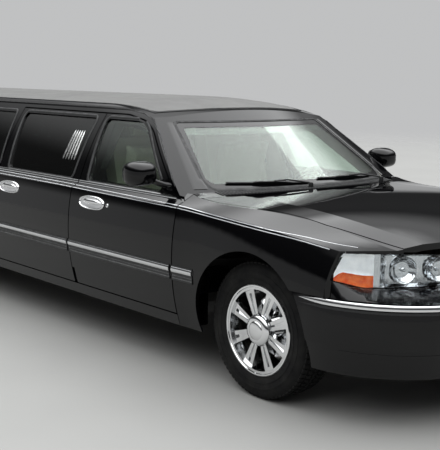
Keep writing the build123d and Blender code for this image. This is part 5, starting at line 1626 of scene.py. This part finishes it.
# Engine bay: a ribbed plastic cover over the engine, a battery, an air box with its hose, two fluid tanks
# with black caps, and moulded rubber coolant hoses. They stand where such parts do; no bracket is made.
# Engine bay plastic: black, grained, with a soft gloss.
bay_plastic = finish("grained_bay_plastic", "#161718", 0.0, 0.5)
vary(bay_plastic, "Roughness", 0.42, 0.6, 50.0)
emboss(bay_plastic, 0.12, 3.0, kind="Voronoi")
# Tank plastic: milky cream that lets some light through.
milky = {"Subsurface Weight": 0.3, "Subsurface Radius": (0.01, 0.01, 0.008)}
tank_plastic = finish("milky_tank_plastic", "#D5D2C4", 0.0, 0.4, milky)
vary(tank_plastic, "Base Color", "#CDC9B8", "#DCD9CD", 60.0)
engine_low, engine_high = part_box("engine_block")
cover_x, skyward = front_axle - 0.02, (0, 0, 1)
covers = [slab((cover_x, 0, engine_high.z + 0.012), (0.56, 0.40, 0.030), 0.012, segments=3)]
for n in range(7):
    covers.append(slab((cover_x, (n - 3) * 0.05, engine_high.z + 0.029), (0.44, 0.012, 0.008), 0.003))
air_box_x, air_box_y = front_axle + 0.46, 0.50
covers.append(slab((air_box_x, air_box_y, 0.640), (0.20, 0.17, 0.16), 0.02, segments=3))
covers.append(slab((air_box_x, air_box_y, 0.726), (0.21, 0.18, 0.016), 0.006))
hose_rings = [(front_axle + 0.38 - 0.012 * n, 0.46 - 0.016 * n, 0.690 + 0.0035 * n) for n in range(14)]
hose_rib = [(0.032, -0.003), (0.038, 0.0), (0.032, 0.003)]
covers.append(tube(hose_rings, 0.034, 16))
for n in range(1, 13, 2):
    covers.append(lathe(hose_rib, hose_rings[n], (-0.6, -0.8, 0.1), 18))
place("engine_covers", joined(*covers), bay_plastic)
battery_x, battery_y, post = front_axle + 0.44, -0.50, [(0.0, 0.030), (0.009, 0.029), (0.010, 0.0)]
batteries = [
    slab((battery_x, battery_y, 0.630), (0.24, 0.17, 0.17), 0.006),
    slab((battery_x, battery_y, 0.719), (0.235, 0.165, 0.014), 0.004),
]
for x in (-0.07, 0.07):
    batteries.append(lathe(post, (battery_x + x, -0.55, 0.720), skyward, 16))
place("battery", joined(*batteries), bay_plastic)
tank_x, left_tank_y, right_tank_y = front_axle - 0.46, 0.44, -0.46
tanks = [
    slab((tank_x, left_tank_y, 0.700), (0.15, 0.14, 0.12), 0.02, segments=3),
    slab((tank_x, right_tank_y, 0.690), (0.17, 0.12, 0.12), 0.02, segments=3),
]
place("fluid_tanks", joined(*tanks), tank_plastic, smooth=50)
cap_profile = [(0.0, 0.018), (0.024, 0.017), (0.027, 0.010), (0.027, 0.0)]
oil_cap = (cover_x - 0.19, -0.15, engine_high.z + 0.026)
cap_spots = ((tank_x, left_tank_y, 0.760), (tank_x, right_tank_y, 0.750), oil_cap)
caps = [lathe(cap_profile, spot, skyward, 24) for spot in cap_spots]
place("filler_caps", joined(*caps), satin_black)
# Each hose: its radius, its sides, and its points as x from the front axle, y and z
hose_runs = (
    (0.020, 14, ((0.31, 0.18, 0.700), (0.42, 0.21, 0.742), (0.54, 0.22, 0.750), (0.655, 0.20, 0.735))),
    (0.020, 14, ((0.31, -0.18, 0.52), (0.45, -0.20, 0.50), (0.655, -0.22, 0.470))),
    (0.007, 10, ((0.34, -0.50, 0.72), (0.20, -0.36, 0.745), (0.10, -0.24, 0.735))),
)
hoses = []
for radius, count, points in hose_runs:
    hoses.append(tube([(front_axle + x, y, z) for x, y, z in points], radius, count))
place("coolant_hoses", joined(*hoses), rubber, smooth=60)

# Running gear: coil springs and dampers at each wheel, a cast gearbox case with a ribbed pan, the long
# two-piece steel drive shaft with its joints and centre bearing, and bent fuel and brake pipes along the
# frame.
# Coated steel: dark grey, half glossy, as springs are powder-coated.
spring_steel = finish("coated_spring_steel", "#232427", 0.6, 0.4)
vary(spring_steel, "Roughness", 0.32, 0.5, 20.0)
coil_radius, coil_turn, wire_radius = 0.055, 12 * math.pi, 0.0075
springs, dampers = [], []
# Each axle's springs: x, y of their middles, the height of their foot, and how tall they are
for axle_x, wheel_y, base, tall in ((front_axle, 0.475, 0.330, 0.22), (rear_axle, 0.480, 0.400, 0.20)):
    damper = [(0.0, 0.0), (0.024, 0.002), (0.024, tall * 0.6), (0.010, tall * 0.6), (0.010, tall)]
    for out in (1, -1):
        coil = []
        for t in np.linspace(0, coil_turn, 130):
            x, y = axle_x + coil_radius * math.cos(t), out * wheel_y + coil_radius * math.sin(t)
            coil.append((x, y, base + tall * t / coil_turn))
        springs.append(tube(coil, wire_radius, 8))
        dampers.append(lathe(damper, (axle_x, out * wheel_y, base), skyward, 20))
place("coil_springs", joined(*springs), spring_steel, smooth=60)
place("dampers", joined(*dampers), spring_steel, smooth=40)
box_end, pan_x = engine_low.x - 0.62, engine_low.x - 0.20
box_profile = [
    (0.0, 0.0), (0.115, 0.0), (0.118, 0.03), (0.100, 0.06), (0.095, 0.30), (0.070, 0.40), (0.052, 0.60),
    (0.050, 0.62), (0.0, 0.62),
]
gearbox = lathe(box_profile, (engine_low.x, 0, 0.285), rearward, 36)
pan = [slab((pan_x, 0, 0.183), (0.28, 0.17, 0.03), 0.008)]
pan += [slab((pan_x, 0.02 * (n - 3), 0.166), (0.24, 0.006, 0.008), 0.002) for n in range(7)]
place("gearbox", joined(gearbox, *pan), cast_iron)
shaft_mid, shaft_radius = (box_end + rear_axle) / 2, 0.036
# Each half of the shaft: x where it starts and ends, and the heights of its ends
shaft_runs = ((box_end, shaft_mid + 0.05, 0.290, 0.300), (shaft_mid - 0.05, rear_axle + 0.16, 0.300, 0.340))
bearing = [(0.020, -0.030), (0.060, -0.030), (0.064, 0.0), (0.060, 0.030), (0.020, 0.030)]
shafts = []
for start, end, z0, z1 in shaft_runs:
    shafts.append(tube([(start - 0.05, 0, z0), (end + 0.05, 0, z1)], shaft_radius, 24))
    for x, z in ((start - 0.02, z0), (end + 0.02, z1)):
        shafts.append(slab((x, 0, z), (0.060, 0.070, 0.026), 0.008))
        shafts.append(slab((x, 0, z), (0.060, 0.026, 0.070), 0.008))
shafts.append(lathe(bearing, (shaft_mid, 0, 0.300), (1, 0, 0), 28))
place("drive_shaft", joined(*shafts), chassis_paint, smooth=50)
pipe_marks = np.linspace(2.2, -2.5, 24)
lines = []
for y in (0.455, 0.470, -0.455):
    lines.append(tube([(x, y, 0.285 + 0.002 * k) for k, x in enumerate(pipe_marks)], 0.004, 6))
place("brake_and_fuel_pipes", joined(*lines), spring_steel)


# Linings and seals: each door has a rubber seal pushed on round its inner face. The boot has a fitted felt
# carpet, and a felt pad lines the bonnet.
# Needled felt: charcoal fibres, rough and without gloss.
felt = finish("needled_boot_felt", "#2B2C2E", 0.0, 0.95, {"Sheen Weight": 0.3})
vary(felt, "Base Color", "#242527", "#343538", 30.0, Detail=6.0)
emboss(felt, 0.8, 3.0, Detail=4.0)
seal_inset, seal_points, belt_corner = 0.017, 150, 0.940
seal_profile = [(-0.005, -0.001), (-0.004, 0.0035), (0.0, 0.005), (0.004, 0.0035), (0.005, -0.001)]
# The front door's brow: x from the front axle, and height
brow_line = ((-0.760, 0.985), (-1.055, 1.215), (-1.150, 1.285), (-1.265, 1.320), (-1.420, 1.338))
for side, out in sides.items():
    for name, carrier in carriers[side].items():
        node = f"door_{name}_{side}"
        skin = skin_of(node)
        low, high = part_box(node)
        x0, x1, z0, z1 = low.x + seal_inset, high.x - seal_inset, low.z + seal_inset, high.z - seal_inset
        outline = [Vector((x1, z0))]
        if name == "front":
            outline += [Vector((x1, belt_corner))] + [Vector((front_axle + x, z)) for x, z in brow_line]
        else:
            outline.append(Vector((x1, z1)))
        outline += [Vector((x0, z1)), Vector((x0, z0))]
        path = [touch(skin, (p.x, 0, p.y), (0, out, 0)) for p in even(outline, seal_points)]
        path = [hit for hit in path if hit and abs(hit[1].y) > 0.4]
        seal = sweep(framed(path, True), seal_profile, closed=True)
        place(f"door_seal_{name}_{side}", seal, rubber, carrier, smooth=60)
floor_skin, hood_skin, lining_thickness, lining_points = skin_of("floor_pan"), skin_of("hood"), 0.010, 25
# Each lining: name, skin, height looked from, which way, x from and to beside the axle, half width and body
linings = (
    ("boot_felt", floor_skin, 0.95, -1, rear_axle - 1.24, rear_axle - 0.50, 0.440, "root"),
    ("bonnet_pad", hood_skin, 0.45, 1, front_axle - 0.34, front_axle + 0.52, 0.480, "bonnet"),
)
for name, skin, height, up, from_x, to_x, half, body in linings:
    across = np.linspace(-half, half, lining_points)
    marks = np.linspace(from_x, to_x, lining_points)
    rows = [[touch(skin, (x, y, height), (0, 0, up)) for y in across] for x in marks]
    place(name, sheet_over(rows, lining_thickness, 2), felt, body, smooth=60)
